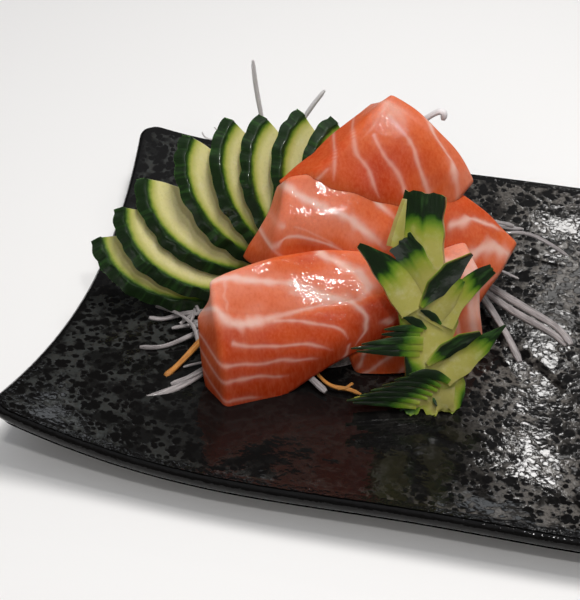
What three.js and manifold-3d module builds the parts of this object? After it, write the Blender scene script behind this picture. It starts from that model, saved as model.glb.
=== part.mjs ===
// A plate of salmon sashimi: a black glazed plate with turned-up corners, and on it five thick
// slices of salmon laid over a heap of shredded daikon and carrot, a fan of nine half-moon slices
// of cucumber, and a cucumber garnish cut like a pine branch.
//
// Millimetres, +Z up. The origin is the middle of the plate's foot, where it stands on the table;
// +X runs along the plate's length and -Y is the side from which the food is looked at.

import * as THREE from 'three';
import { mergeVertices } from 'three/addons/utils/BufferGeometryUtils.js';
import Module from 'manifold-3d';

const wasm = await Module();
wasm.setup();

const rad = THREE.MathUtils.degToRad;
const lerp = THREE.MathUtils.lerp;

// ---------------------------------------------------------------- driving dimensions

const GAP = 0.55;          // clear space between pieces that touch

const PLATE = {
  length: 268, width: 162,
  floor: 10,              // height of the flat middle of the top
  thickness: 6.5,
  cornerRadius: 6,
  endHollow: 5.1,         // how far each short side is drawn in at its middle
  sideBulge: 6.7,         // how far each long side stands out at its middle
  sideWave: 1.3,          // and a little more half way to the corners
  cornerRise: 16, riseAlong: 2.9, riseAcross: 1.85,
  sideRise: 5.8,          // lift of the long sides at their middle
  footLength: 150, footWidth: 84, footFlare: 6,
};

// The food is set down a little to the left of the plate's middle.
const FOOD_PLACE = [-12.8, 1.7, 0];

// The fan and the garnish lean back from upright and face a little round towards +X.
const LEAN = 40, TURN = 12.5;

const CUCUMBER = {
  halfChord: 32, depth: 25, thickness: 4,
  slant: 1.4,             // the rind's outer edge stands this far outside the front face
  ridges: 9, ridgeDepth: 0.55,
  chordBulge: 2,
  tilt: 32, tiltToward: 52, // each slice is tipped, rind side up, about a line across this direction
};

// The fan: the inner tips stand in a row, and each slice is turned a little further than the last.
const FAN = {
  place: [-44, 0, 12],
  start: -7.1, step: 6.4,  // along the row
  rises: [18, 16, 22, 19, 16, 13, 10.5, 5.7, 2],
  turns: [2, -10, -14, -33, -44, -50, -57, -62, -65],
  depths: [-12.9, -9.5, -9.7, -6.8, -4.9, -3.5, -2.2, -1.3, -0.4],
};

// The salmon slices. Each is bent over the heap: from its crest a front part hangs down and a back
// part runs on. Sizes that change along a slice are given for its left end, middle and right end.
// place: the middle of the crest; turn: round the vertical; roll: right end down; lean: the front's
// foot stands forward; rise: the back part climbs; arch: the crest's middle stands up; skew: how
// far the inner edge of the left end sticks out, at the foot, the crest and the back; tuck: how far
// the right end's foot is drawn in.
const SLICES = {
  front: {
    length: 60, thickness: 11, bend: 18, arch: -4, belly: 2, skew: [3, 5, -3], tuck: 0,
    drop: [42, 24, 15], over: [12, 20, 13], lean: [22, 20, 18], rise: [20, 30, 18],
    place: [-31, -31, 40], turn: 25, roll: 0,
  },
  middle: {
    length: 46, thickness: 10, bend: 18, arch: 2, belly: 0, skew: [10, 6, 2], tuck: 0,
    drop: [18, 18, 18], over: [19, 22, 18], lean: [6, 6, 6], rise: [36, 40, 34],
    place: [-22.5, -9, 46.5], turn: 12, roll: 12,
  },
  back: {
    length: 41, thickness: 8.5, bend: 6, arch: 4, belly: 1.5, skew: [6, 2, -5], tuck: 0,
    drop: [43, 40, 36], over: [5, 5, 5], lean: [48, 46, 42], rise: [12, 12, 12],
    place: [-3, 22.5, 66.8], turn: -12, roll: 40,
  },
  lower: {
    length: 50, thickness: 10, bend: 12, arch: 2, belly: 1, skew: [0, 0, 0], tuck: 9,
    drop: [22, 31, 34], over: [10, 12, 12], lean: [20, 24, 20], rise: [5, 5, 5],
    place: [-2, -15, 37], turn: 28, roll: -22,
  },
  side: {
    length: 44, thickness: 10, bend: 8, arch: 4, belly: 1, skew: [0, 0, 0], tuck: 0,
    drop: [30, 30, 24], over: [8, 8, 8], lean: [40, 40, 40], rise: [10, 10, 10],
    place: [9.5, 16, 42.5], turn: -5, roll: 32,
  },
};

// The garnish stands on its ragged end and leans on the salmon. Its own frame has +X to the right,
// +Y up along the stem and +Z out of its front. A leaf is a strip cut from the rind and spread:
// where it leaves the stem, its heading, length, width, and how far it is lifted off the stem.
const GARNISH = {
  place: [13.5, -43, 10.8], lean: 36,
  stem: { thickness: 4.5, foot: 26, waist: 13.5, top: 12.5, height: 69 },
  leafThickness: 2.4,
  leaves: [
    { at: [-4.2, 50], heading: 91, length: 20, width: 12.6, lift: 4 },
    { at: [-1, 34], heading: 123, length: 25, width: 9, lift: 12 },
    { at: [-4, 29], heading: 133, length: 31, width: 8.5, lift: 10 },
    { at: [-6, 29], heading: 52, length: 25, width: 6.5, lift: 14 },
    { at: [-2, 30], heading: 38, length: 21, width: 6, lift: 8 },
    { at: [-5, 25], heading: 172, length: 14, width: 3.6, lift: 9 },
    { at: [-8, 19], heading: 178, length: 20, width: 4.6, lift: 8 },
    { at: [0, 13], heading: 33, length: 23, width: 8, lift: 14 },
    { at: [2, 10.5], heading: 157, length: 21, width: 5.5, lift: 12 },
    { at: [2, 8], heading: 164, length: 28, width: 6, lift: 9 },
    { at: [3, 4.6], heading: 173, length: 33, width: 6, lift: 6 },
  ],
};

// The heap: two rounded mounds of shreds with single shreds standing or lying out of them.
const HEAP = {
  mounds: [
    { middle: [-20, 22, 6], radii: [40, 34, 44] },
    { middle: [-34, -12, 6], radii: [26, 20, 25] },
  ],
  shred: { width: 1.9, height: 1.5, steps: 4 },
  // start, heading and climb in degrees, length, and how much both change on the way
  loose: [
    { from: [-53, -16, 13], heading: 252, climb: -1, length: 50, bend: -40, droop: 8 },
    { from: [-54, -13, 15], heading: 250, climb: -1, length: 38, bend: -34, droop: 2 },
    { from: [-58, -14, 14], heading: 230, climb: -2, length: 36, bend: 28, droop: 0 },
    { from: [-53, -15, 12.2], heading: 202, climb: -1, length: 39, bend: 14, droop: 2 },
    { from: [-54, -13, 13.4], heading: 220, climb: -2, length: 38, bend: -50, droop: 3 },
    { from: [-52, -8, 16], heading: 210, climb: -5, length: 26, bend: 10, droop: 0 },
    { from: [-54, -4, 18], heading: 226, climb: -12, length: 34, bend: 50, droop: 4 },
    { from: [-4, 44, 16], heading: 32, climb: -3, length: 60, bend: -84, droop: 0 },
    { from: [-4, 42, 19], heading: 34, climb: 0, length: 34, bend: -30, droop: -10 },
    { from: [12, 33, 14], heading: -10, climb: -2, length: 22, bend: -20, droop: 0 },
    { from: [6, 32, 17], heading: -30, climb: -2, length: 58, bend: -22, droop: -10 },
    { from: [6, 30, 19], heading: -31, climb: -4, length: 55, bend: -16, droop: -8 },
    { from: [8, 24, 16], heading: -40, climb: -3, length: 48, bend: -34, droop: -8 },
    { from: [-41, 37, 30], heading: 160, climb: 36, length: 58, bend: 8, droop: 64 },
    { from: [-48, 29, 31], heading: 110, climb: 48, length: 43, bend: -100, droop: 8 },
    { from: [-8, 36, 40], heading: 70, climb: 70, length: 31, bend: 0, droop: -90 },
  ],
  scattered: 9, scatterLength: [22, 44], seed: 7,
};

const colours = {
  plate: 0x17181a, salmon: 0xe2683f, cucumber: 0x9aa84f, garnish: 0x7f9a3c, daikon: 0xd9d2cf,
};

// ---------------------------------------------------------------- helpers

function material(slot, roughness) {
  return new THREE.MeshStandardMaterial({ name: slot, color: colours[slot], roughness, metalness: 0 });
}

// Skins a stack of equal closed rings of points; the triangles in cap close its first and last ring.
function skin(rings, cap) {
  const n = rings[0].length;
  const index = [];
  for (let r = 0; r + 1 < rings.length; r++) {
    for (let i = 0; i < n; i++) {
      const a = r * n + i, b = r * n + ((i + 1) % n);
      index.push(a, b, b + n, a, b + n, a + n);
    }
  }
  const top = (rings.length - 1) * n;
  for (const [a, b, c] of cap) index.push(a, c, b, top + a, top + b, top + c);
  const geometry = new THREE.BufferGeometry();
  const points = rings.flat().flatMap((p) => p.toArray());
  geometry.setAttribute('position', new THREE.Float32BufferAttribute(points, 3));
  geometry.setIndex(index);
  return geometry;
}

// Triangles that close a rounded ring from its first point.
function fanCap(n) {
  return Array.from({ length: n - 2 }, (_, i) => [0, i + 1, i + 2]);
}

// Triangles that close a ring whose points i and n-1-i face each other across a strip.
function stripCap(n) {
  const cap = [];
  for (let i = 0; i + 1 < n / 2; i++) cap.push([i, i + 1, n - 2 - i], [i, n - 2 - i, n - 1 - i]);
  return cap;
}

function toManifold(geometry) {
  const bare = geometry.clone();
  bare.deleteAttribute('normal');
  bare.deleteAttribute('uv');
  const merged = mergeVertices(bare, 1e-4);
  return new wasm.Manifold(new wasm.Mesh({
    numProp: 3,
    vertProperties: new Float32Array(merged.attributes.position.array),
    triVerts: new Uint32Array(merged.index.array),
  }));
}

function fromManifold(solid) {
  const mesh = solid.getMesh();
  const geometry = new THREE.BufferGeometry();
  geometry.setAttribute('position', new THREE.BufferAttribute(new Float32Array(mesh.vertProperties), 3));
  geometry.setIndex(new THREE.BufferAttribute(new Uint32Array(mesh.triVerts), 1));
  geometry.computeVertexNormals();
  return geometry;
}

function largest(solid) {
  return solid.decompose().sort((a, b) => b.volume() - a.volume())[0];
}

// Presses a mesh clear of others: the shapes they need, grown or roomy, are cut out of it and loose
// scraps dropped.
function yieldTo(mesh, others, need = 'grown') {
  mesh.updateWorldMatrix(true, false);
  const toLocal = mesh.matrixWorld.clone().invert();
  let solid = toManifold(mesh.geometry);
  for (const other of others) {
    other.updateWorldMatrix(true, false);
    const cutter = (other.userData[need] ?? other.userData.grown).clone().applyMatrix4(other.matrixWorld).applyMatrix4(toLocal);
    solid = solid.subtract(toManifold(cutter));
  }
  mesh.geometry = fromManifold(largest(solid));
}

// ---------------------------------------------------------------- plate

// The point of the plate's top over (x0, y0) of the plain rectangle it is shaped from.
function plateTop(x0, y0) {
  const u = x0 / (PLATE.length / 2), v = y0 / (PLATE.width / 2);
  const au = Math.abs(u), av = Math.abs(v);
  const side = PLATE.sideBulge * (1 - u * u) + PLATE.sideWave * (1 - Math.cos(2 * Math.PI * u)) / 2;
  return new THREE.Vector3(
    x0 - Math.sign(u) * PLATE.endHollow * (1 - v * v) * au ** 3,
    y0 + Math.sign(v) * side * av ** 3,
    PLATE.floor + PLATE.cornerRise * au ** PLATE.riseAlong * av ** PLATE.riseAcross
      + PLATE.sideRise * (1 - u * u) ** 2 * av ** 4);
}

// A rounded rectangle as a ring of points.
function roundedRectangle(length, width, radius) {
  const perSide = 10, perCorner = 3;
  const ring = [];
  [[1, -1], [1, 1], [-1, 1], [-1, -1]].forEach(([sx, sy], k) => {
    const start = 90 * (k - 1);
    const cx = sx * (length / 2 - radius), cy = sy * (width / 2 - radius);
    for (let i = 0; i <= perCorner; i++) {
      const a = rad(start + 90 * i / perCorner);
      ring.push(new THREE.Vector2(cx + radius * Math.cos(a), cy + radius * Math.sin(a)));
    }
    const run = (k % 2 === 0 ? width : length) - 2 * radius;
    const step = new THREE.Vector2(0, 1).rotateAround(new THREE.Vector2(), rad(start + 90));
    const from = ring[ring.length - 1].clone();
    for (let i = 1; i < perSide; i++) ring.push(from.clone().addScaledVector(step, run * i / perSide));
  });
  return ring;
}

function plateGeometry() {
  const { length, width, thickness, cornerRadius, floor, footLength, footWidth } = PLATE;
  const outline = roundedRectangle(length, width, cornerRadius);
  // a ring over the outline scaled down, at a share of the way from the top to the underside,
  // and drawn in by the rim's rounding
  const ringAt = (scale, depth) => outline.map((p) => {
    const inset = scale < 1 ? 0 : thickness / 2 * (1 - Math.sin(depth * Math.PI));
    const x = p.x * scale * (1 - 2 * inset / length), y = p.y * scale * (1 - 2 * inset / width);
    const point = plateTop(x, y);
    return point.setZ(point.z - thickness * (1 - Math.cos(depth * Math.PI)) / 2);
  });
  const rings = [0.03, 0.3, 0.5, 0.63, 0.74, 0.83, 0.9, 0.955].map((scale) => ringAt(scale, 0));
  rings.push(...[0, 0.22, 0.4, 0.6, 0.78, 1].map((depth) => ringAt(1, depth)));
  rings.push(...[0.9, 0.8, 0.7].map((scale) => ringAt(scale, 1)));
  const foot = (extra, z) => roundedRectangle(footLength + extra, footWidth + extra, cornerRadius)
    .map((p) => new THREE.Vector3(p.x, p.y, z));
  rings.push(foot(PLATE.footFlare, floor - thickness), foot(0, 0), foot(-60, 0));
  return skin(rings.reverse(), fanCap(outline.length));
}

function buildPlate() {
  const plate = new THREE.Mesh(plateGeometry(), material('plate', 0.25));
  plate.name = 'plate';
  plate.userData.grown = plate.geometry.clone().translate(0, 0, GAP);
  return plate;
}

// ---------------------------------------------------------------- cucumber fan

// One half-moon slice lying flat, its inner tip at the origin and its straight edge along -X. The
// grown one that is cut out of softer pieces has a plain round rind.
function cucumberGeometry(grow = 0) {
  const { halfChord, depth, thickness, slant, ridges, ridgeDepth, chordBulge } = CUCUMBER;
  const arcSteps = grow ? 15 : ridges * 3, chordSteps = 5;
  const outline = (inset, z) => {
    const ring = [];
    for (let i = 0; i <= arcSteps; i++) {
      const a = Math.PI * i / arcSteps;
      const groove = grow ? 0 : ridgeDepth * (1 - Math.abs(Math.sin(a * ridges)));
      const scale = 1 - (inset + groove - grow) / depth;
      ring.push([-halfChord * (1 + Math.cos(a) * scale), -depth * Math.sin(a) * scale]);
    }
    for (let i = 0; i <= chordSteps; i++) {
      const t = (i + 0.2) / (chordSteps + 0.4);
      ring.push([-2 * halfChord * t, 4 * chordBulge * t * (1 - t) + grow]);
    }
    return ring.map(([x, y]) => new THREE.Vector3(x, y, z));
  };
  const half = thickness / 2 + grow;
  const rings = [
    outline(0.5, -half), outline(0, 0.6 - half), outline(slant - 0.3, half - 0.5), outline(slant + 0.4, half),
  ];
  return skin(rings, fanCap(rings[0].length));
}

function buildFan() {
  const fan = new THREE.Group();
  fan.position.set(...FAN.place);
  fan.rotation.set(rad(90 - LEAN), 0, rad(TURN), 'ZYX');
  const toward = rad(CUCUMBER.tiltToward);
  const hinge = new THREE.Vector3(-Math.sin(toward), Math.cos(toward), 0);
  FAN.turns.forEach((turn, i) => {
    const slice = new THREE.Mesh(cucumberGeometry(), material('cucumber', 0.35));
    slice.name = `cucumber_slice_${i + 1}`;
    slice.quaternion.setFromAxisAngle(hinge, rad(CUCUMBER.tilt));
    slice.userData.grown = cucumberGeometry(GAP);
    const holder = new THREE.Group();
    holder.position.set(FAN.start + FAN.step * i, FAN.rises[i], FAN.depths[i]);
    holder.rotation.z = rad(turn);
    holder.add(slice);
    fan.add(holder);
  });
  return fan;
}

// ---------------------------------------------------------------- salmon

// The value at s (-1 one end, 0 middle, 1 other end) of a size given at those three places.
function along([start, middle, end], s) {
  return middle + (end - start) / 2 * s + ((end + start) / 2 - middle) * s * s;
}

// The outer face's path across a slice at s: straight up the front, round the bend, on to the back.
// Returns its length up to the bend's middle and a function from distance to point and direction.
function slicePath(size, s, grow) {
  const lean = rad(along(size.lean, s)), rise = rad(along(size.rise, s));
  const drop = along(size.drop, s) + grow, over = along(size.over, s) + grow;
  const down = new THREE.Vector2(-Math.sin(lean), -Math.cos(lean));
  const back = new THREE.Vector2(Math.cos(rise), Math.sin(rise));
  const r = Math.min(size.bend, drop * 0.7, over * 0.9);
  const corner = new THREE.QuadraticBezierCurve(
    down.clone().multiplyScalar(r), new THREE.Vector2(), back.clone().multiplyScalar(r));
  const arc = corner.getLength();
  const front = drop - r;
  const at = (d) => {
    if (d < front) return [down.clone().multiplyScalar(drop - d), down.clone().negate()];
    if (d < front + arc) {
      const t = (d - front) / arc;
      return [corner.getPointAt(t), corner.getTangentAt(t)];
    }
    return [back.clone().multiplyScalar(r + d - front - arc), back.clone()];
  };
  return { crest: front + arc / 2, total: front + arc + over - r, at };
}

// A bent slice in its own frame: X along the crest, -Y the front, +Z up, skinned over sections
// across X with rounded edges; grow makes it that much bigger all round. sections and steps are how
// many places the length and the path are divided at, between their rounded edges.
function sliceGeometry(size, grow = 0, sections = 5, steps = 7) {
  const { length, thickness, arch, belly, skew, tuck } = size;
  const round = 2.2 + grow;
  const edge = [[0, 1], [0.2, 0.4], [1, 0]].map(([run, inset]) => [run * round, inset * round]);
  const half = length / 2 + grow;
  // places over a width: close together at both rounded edges, evenly spaced between
  const spread = (from, to, inner) => [
    ...edge.map(([run, inset]) => [from + run, inset]),
    ...Array.from({ length: inner }, (_, i) => [lerp(from + round, to - round, (i + 1) / (inner + 1)), 0]),
    ...edge.map(([run, inset]) => [to - run, inset]).reverse(),
  ];
  const rings = spread(-half, half, sections).map(([x, endInset]) => {
    const s = x / (length / 2);
    const path = slicePath(size, s, grow);
    const outer = [], inner = [];
    for (const [d, inset] of spread(0, path.total, steps)) {
      const [point, tangent] = path.at(lerp(d, path.total / 2, 2 * endInset / path.total));
      const inward = new THREE.Vector2(tangent.y, -tangent.x);
      const across = THREE.MathUtils.clamp(
        d < path.crest ? d / path.crest - 1 : (d - path.crest) / (path.total - path.crest), -1, 1);
      const swell = belly * Math.sin(Math.PI * Math.max(0, -across));
      const cut = Math.max(inset, endInset);
      for (const [list, depth] of [[outer, cut - grow], [inner, thickness + grow - cut]]) {
        const share = depth / thickness;
        const q = point.clone().addScaledVector(inward, depth - swell * (1 - share));
        const slide = -along(skew, across) * share * (1 - s) / 2
          - tuck * Math.max(0, -across) * (1 + s) / 2;
        list.push(new THREE.Vector3(x + slide, q.x, q.y + arch * (1 - s * s)));
      }
    }
    return [...outer, ...inner.reverse()];
  });
  return skin(rings.reverse(), stripCap(rings[0].length));
}

function buildSlice(name, size) {
  const slice = new THREE.Mesh(sliceGeometry(size), material('salmon', 0.3));
  slice.name = `salmon_slice_${name}`;
  slice.position.set(...size.place);
  slice.rotation.set(0, rad(size.roll), rad(size.turn), 'ZYX');
  slice.userData.grown = sliceGeometry(size, GAP);
  slice.userData.roomy = sliceGeometry(size, 3 * GAP, 2, 4);
  return slice;
}

// ---------------------------------------------------------------- garnish

// A flat shape thickened from z - thickness to z, with a small bevel.
function plank(corners, thickness, z) {
  const shape = new THREE.Shape(corners.map(([x, y]) => new THREE.Vector2(x, y)));
  const bevel = 0.3;
  const solid = new THREE.ExtrudeGeometry(shape, {
    depth: thickness - 2 * bevel, bevelSize: bevel, bevelThickness: bevel, bevelSegments: 1, steps: 1,
  });
  return solid.translate(0, 0, z - thickness + bevel);
}

function leafGeometry({ at, heading, length, width, lift }) {
  const half = width / 2;
  const strip = [[-3, -half], [length * 0.86, -half], [length, -half * 0.2], [length * 0.93, half], [-3, half]];
  return plank(strip, GARNISH.leafThickness, 0.6)
    .rotateY(rad(-lift)).rotateZ(rad(heading)).translate(at[0], at[1], 0);
}

function buildGarnish() {
  const { stem, leaves } = GARNISH;
  const stemOutline = [
    [-stem.foot / 2 - 4, 2], [-6, -1.2], [-1, 0.4], [2, -1], [stem.foot / 2 - 5, 1], [stem.foot / 2 - 4, 9],
    [5, 14], [stem.waist / 2 - 3, 24], [stem.waist / 2 - 2, 34], [2, 46], [stem.top / 2 - 4, stem.height],
    [-stem.top / 2 - 4, stem.height - 1], [-12, 50], [-13, 32], [-11, 20], [-9, 10],
  ];
  let solid = toManifold(plank(stemOutline, stem.thickness, 0));
  for (const leaf of leaves) solid = solid.add(toManifold(leafGeometry(leaf)));
  const garnish = new THREE.Mesh(fromManifold(largest(solid)), material('garnish', 0.4));
  garnish.name = 'cucumber_garnish';
  garnish.position.set(...GARNISH.place);
  garnish.rotation.set(rad(90 - GARNISH.lean), 0, rad(TURN), 'ZYX');
  return garnish;
}

// ---------------------------------------------------------------- shredded daikon and carrot

// Mulberry32: repeatable draws between 0 and 1.
function randomSource(seed) {
  let state = seed;
  return () => {
    state = (state + 0x6d2b79f5) | 0;
    let t = Math.imul(state ^ (state >>> 15), 1 | state);
    t = (t + Math.imul(t ^ (t >>> 7), 61 | t)) ^ t;
    return ((t ^ (t >>> 14)) >>> 0) / 4294967296;
  };
}

// One shred: a four-sided strip that starts at a point and bends evenly as it goes.
function shredGeometry({ from, heading, climb, length, bend, droop }) {
  const { width, height, steps } = HEAP.shred;
  const point = new THREE.Vector3(...from);
  const rings = [];
  for (let i = 0; i <= steps; i++) {
    const h = rad(heading + bend * i / steps), c = rad(climb + droop * i / steps);
    const ahead = new THREE.Vector3(Math.cos(h) * Math.cos(c), Math.sin(h) * Math.cos(c), Math.sin(c));
    const side = new THREE.Vector3(-Math.sin(h), Math.cos(h), 0);
    const up = new THREE.Vector3().crossVectors(ahead, side);
    const taper = i === steps ? 0.6 : 1;
    rings.push([[-1, -1], [1, -1], [1, 1], [-1, 1]].map(([a, b]) => point.clone()
      .addScaledVector(side, a * taper * width / 2).addScaledVector(up, b * taper * height / 2)));
    point.addScaledVector(ahead, length / steps);
  }
  return skin(rings, fanCap(4));
}

// A shred that lies over the back or side of the main mound.
function scatteredShred(random) {
  const { middle, radii } = HEAP.mounds[0];
  const around = rad(lerp(-10, 200, random())), up = rad(lerp(8, 70, random()));
  const reach = lerp(0.93, 1.02, random());
  const from = [
    middle[0] + radii[0] * reach * Math.cos(around) * Math.cos(up),
    middle[1] + radii[1] * reach * Math.sin(around) * Math.cos(up),
    middle[2] + radii[2] * reach * Math.sin(up),
  ];
  const side = random() < 0.5 ? 90 : -90;
  return {
    from, heading: THREE.MathUtils.radToDeg(around) + side + lerp(-35, 35, random()),
    climb: lerp(-25, 30, random()), length: lerp(...HEAP.scatterLength, random()),
    bend: Math.sign(side) * lerp(30, 80, random()), droop: lerp(-50, -10, random()),
  };
}

function buildHeap() {
  const random = randomSource(HEAP.seed);
  const mounds = HEAP.mounds.map(({ middle, radii }) => toManifold(
    new THREE.IcosahedronGeometry(1, 2).scale(...radii).translate(...middle)));
  let solid = mounds[0].add(mounds[1]);
  const scattered = Array.from({ length: HEAP.scattered }, () => scatteredShred(random));
  for (const shred of [...HEAP.loose, ...scattered]) solid = solid.add(toManifold(shredGeometry(shred)));
  const below = new THREE.BoxGeometry(PLATE.length, PLATE.width, 100).translate(0, 0, PLATE.floor - 50);
  solid = solid.subtract(toManifold(below));
  const heap = new THREE.Mesh(fromManifold(solid), material('daikon', 0.45));
  heap.name = 'shredded_daikon';
  return heap;
}

// ---------------------------------------------------------------- the whole

const object = new THREE.Group();
const food = new THREE.Group();
food.position.set(...FOOD_PLACE);
const plate = buildPlate();
const fan = buildFan();
const cucumbers = fan.children.map((holder) => holder.children[0]);
const { front, middle, back, lower, side } = Object.fromEntries(
  Object.entries(SLICES).map(([name, size]) => [name, buildSlice(name, size)]));
const garnish = buildGarnish();
const heap = buildHeap();
food.add(fan, front, middle, back, lower, side, garnish, heap);
object.add(plate, food);

// Soft pieces give way to the firm ones and to the slices that lie over them.
const firm = [plate, ...cucumbers];
yieldTo(garnish, [plate]);
yieldTo(front, firm);
yieldTo(middle, [...firm, front]);
yieldTo(back, [...firm, front, middle]);
yieldTo(lower, [...firm, front, middle, back]);
yieldTo(side, [...firm, front, middle, back, lower]);
yieldTo(heap, [...firm, front, middle, back, lower, side], 'roomy');

export default object;
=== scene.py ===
import math

import bmesh
import bpy
import numpy as np
from mathutils import Matrix, Vector


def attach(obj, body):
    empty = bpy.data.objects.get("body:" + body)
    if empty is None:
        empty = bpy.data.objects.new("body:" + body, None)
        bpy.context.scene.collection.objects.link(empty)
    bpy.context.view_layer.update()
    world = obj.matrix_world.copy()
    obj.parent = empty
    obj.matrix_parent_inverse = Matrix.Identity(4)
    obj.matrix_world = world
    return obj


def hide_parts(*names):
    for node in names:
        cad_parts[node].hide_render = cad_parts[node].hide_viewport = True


# A plate of salmon sashimi. Sizes are millimetres until a mesh is made, +Z up; +X runs along the
# plate and -Y is the side from which the food is looked at. The food has its own frame, moved by
# FOOD_PLACE from the middle of the plate's foot.

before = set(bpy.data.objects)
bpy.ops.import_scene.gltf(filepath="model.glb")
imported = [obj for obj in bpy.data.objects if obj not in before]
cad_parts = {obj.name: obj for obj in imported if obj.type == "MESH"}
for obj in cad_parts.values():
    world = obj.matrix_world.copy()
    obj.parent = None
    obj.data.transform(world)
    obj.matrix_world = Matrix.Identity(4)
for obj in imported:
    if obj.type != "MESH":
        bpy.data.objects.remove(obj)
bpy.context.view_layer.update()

MM = 0.001
FOOD_PLACE = np.array([-12.8, 1.7, 0.0])
LEAN, TURN = 40.0, 12.5    # degrees that the fan leans back, and that the food faces round towards +X

# The plate over a plain rectangle: its short sides are drawn in and its long sides bowed out and lifted,
# its corners rise with powers of the distance along and across, and its foot flares a little.
PLATE = dict(
    length=268.0, width=162.0, floor=10.0, thickness=6.5, corner=6.0,
    end_hollow=5.1, side_bulge=6.7, side_wave=1.3,
    corner_rise=16.0, rise_along=2.9, rise_across=1.85, side_rise=5.8,
    foot_length=150.0, foot_width=84.0, foot_flare=6.0,
)
HEAP_FLOOR = PLATE["floor"] + 0.3      # nothing of the heap lies lower
SLICE_FLOOR = PLATE["floor"] + 0.55    # nothing of the salmon and the garnish lies lower

# A half moon: half its straight edge and its depth from there to the skin, how far the skin slants in
# through the thickness, how far the straight edge bows out, and how far and which way it is tipped.
CUCUMBER = dict(
    half_chord=32.0, depth=25.0, thickness=4.0, slant=1.8, ridges=12, ridge_depth=0.42,
    chord_bulge=2.0, tilt=32.0, tilt_toward=52.0,
)

# The slices of the fan from the first to the last: a row of even steps, and for each one how high it
# sits in the row, its turn in degrees and how deep it is set.
FAN = dict(
    place=(-44.0, 0.0, 12.0), start=-7.1, step=6.4,
    rises=(18, 16, 22, 19, 16, 13, 10.5, 5.7, 2),
    turns=(2, -10, -14, -33, -44, -50, -57, -62, -65),
    depths=(-12.9, -9.5, -9.7, -6.8, -4.9, -3.5, -2.2, -1.3, -0.4),
    thins=(1, 1, 0.95, 0.9, 0.85, 0.78, 0.74, 0.72, 0.72),    # share of the full thickness
)

# The salmon slices: slabs bent over a crest. A slice hangs down in front by drop and runs on behind by
# over, at the slopes lean and rise, and the bend between them starts up to bend away from the crest.
# Each of these four is given at its left end, middle and right end. Arch lifts the middle of the crest,
# belly swells the front, skew is how far the inner face reaches out at the left end (at the front's
# foot, the crest and the back edge), and tuck draws in the right end's foot.
SLICES = {
    "front": dict(
        length=60, thickness=11, bend=18, arch=-4, belly=2, skew=(3, 5, -3), tuck=0,
        drop=(42, 24, 15), over=(12, 20, 13), lean=(22, 20, 18), rise=(20, 30, 18),
        place=(-31, -31, 40), turn=25, roll=0),
    "middle": dict(
        length=46, thickness=10, bend=18, arch=2, belly=0, skew=(10, 6, 2), tuck=0,
        drop=(18, 18, 18), over=(19, 22, 18), lean=(6, 6, 6), rise=(36, 40, 34),
        place=(-22.5, -9, 46.5), turn=12, roll=12),
    "back": dict(
        length=41, thickness=8.5, bend=6, arch=4, belly=1.5, skew=(6, 2, -5), tuck=0,
        drop=(43, 43, 50), over=(5, 5, 5), lean=(48, 46, 42), rise=(12, 12, 12),
        place=(-3, 22.5, 66.8), turn=-12, roll=40),
    "lower": dict(
        length=50, thickness=10, bend=12, arch=2, belly=1, skew=(0, 0, 0), tuck=9,
        drop=(22, 31, 34), over=(10, 12, 12), lean=(20, 24, 20), rise=(5, 5, 5),
        place=(-2, -15, 34.5), turn=28, roll=-16),
    "side": dict(
        length=44, thickness=10, bend=8, arch=4, belly=1, skew=(0, 0, 0), tuck=0,
        drop=(30, 30, 24), over=(8, 8, 8), lean=(40, 40, 40), rise=(10, 10, 10),
        place=(10.3, 12.3, 45.7), turn=-5, roll=32),
}

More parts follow.
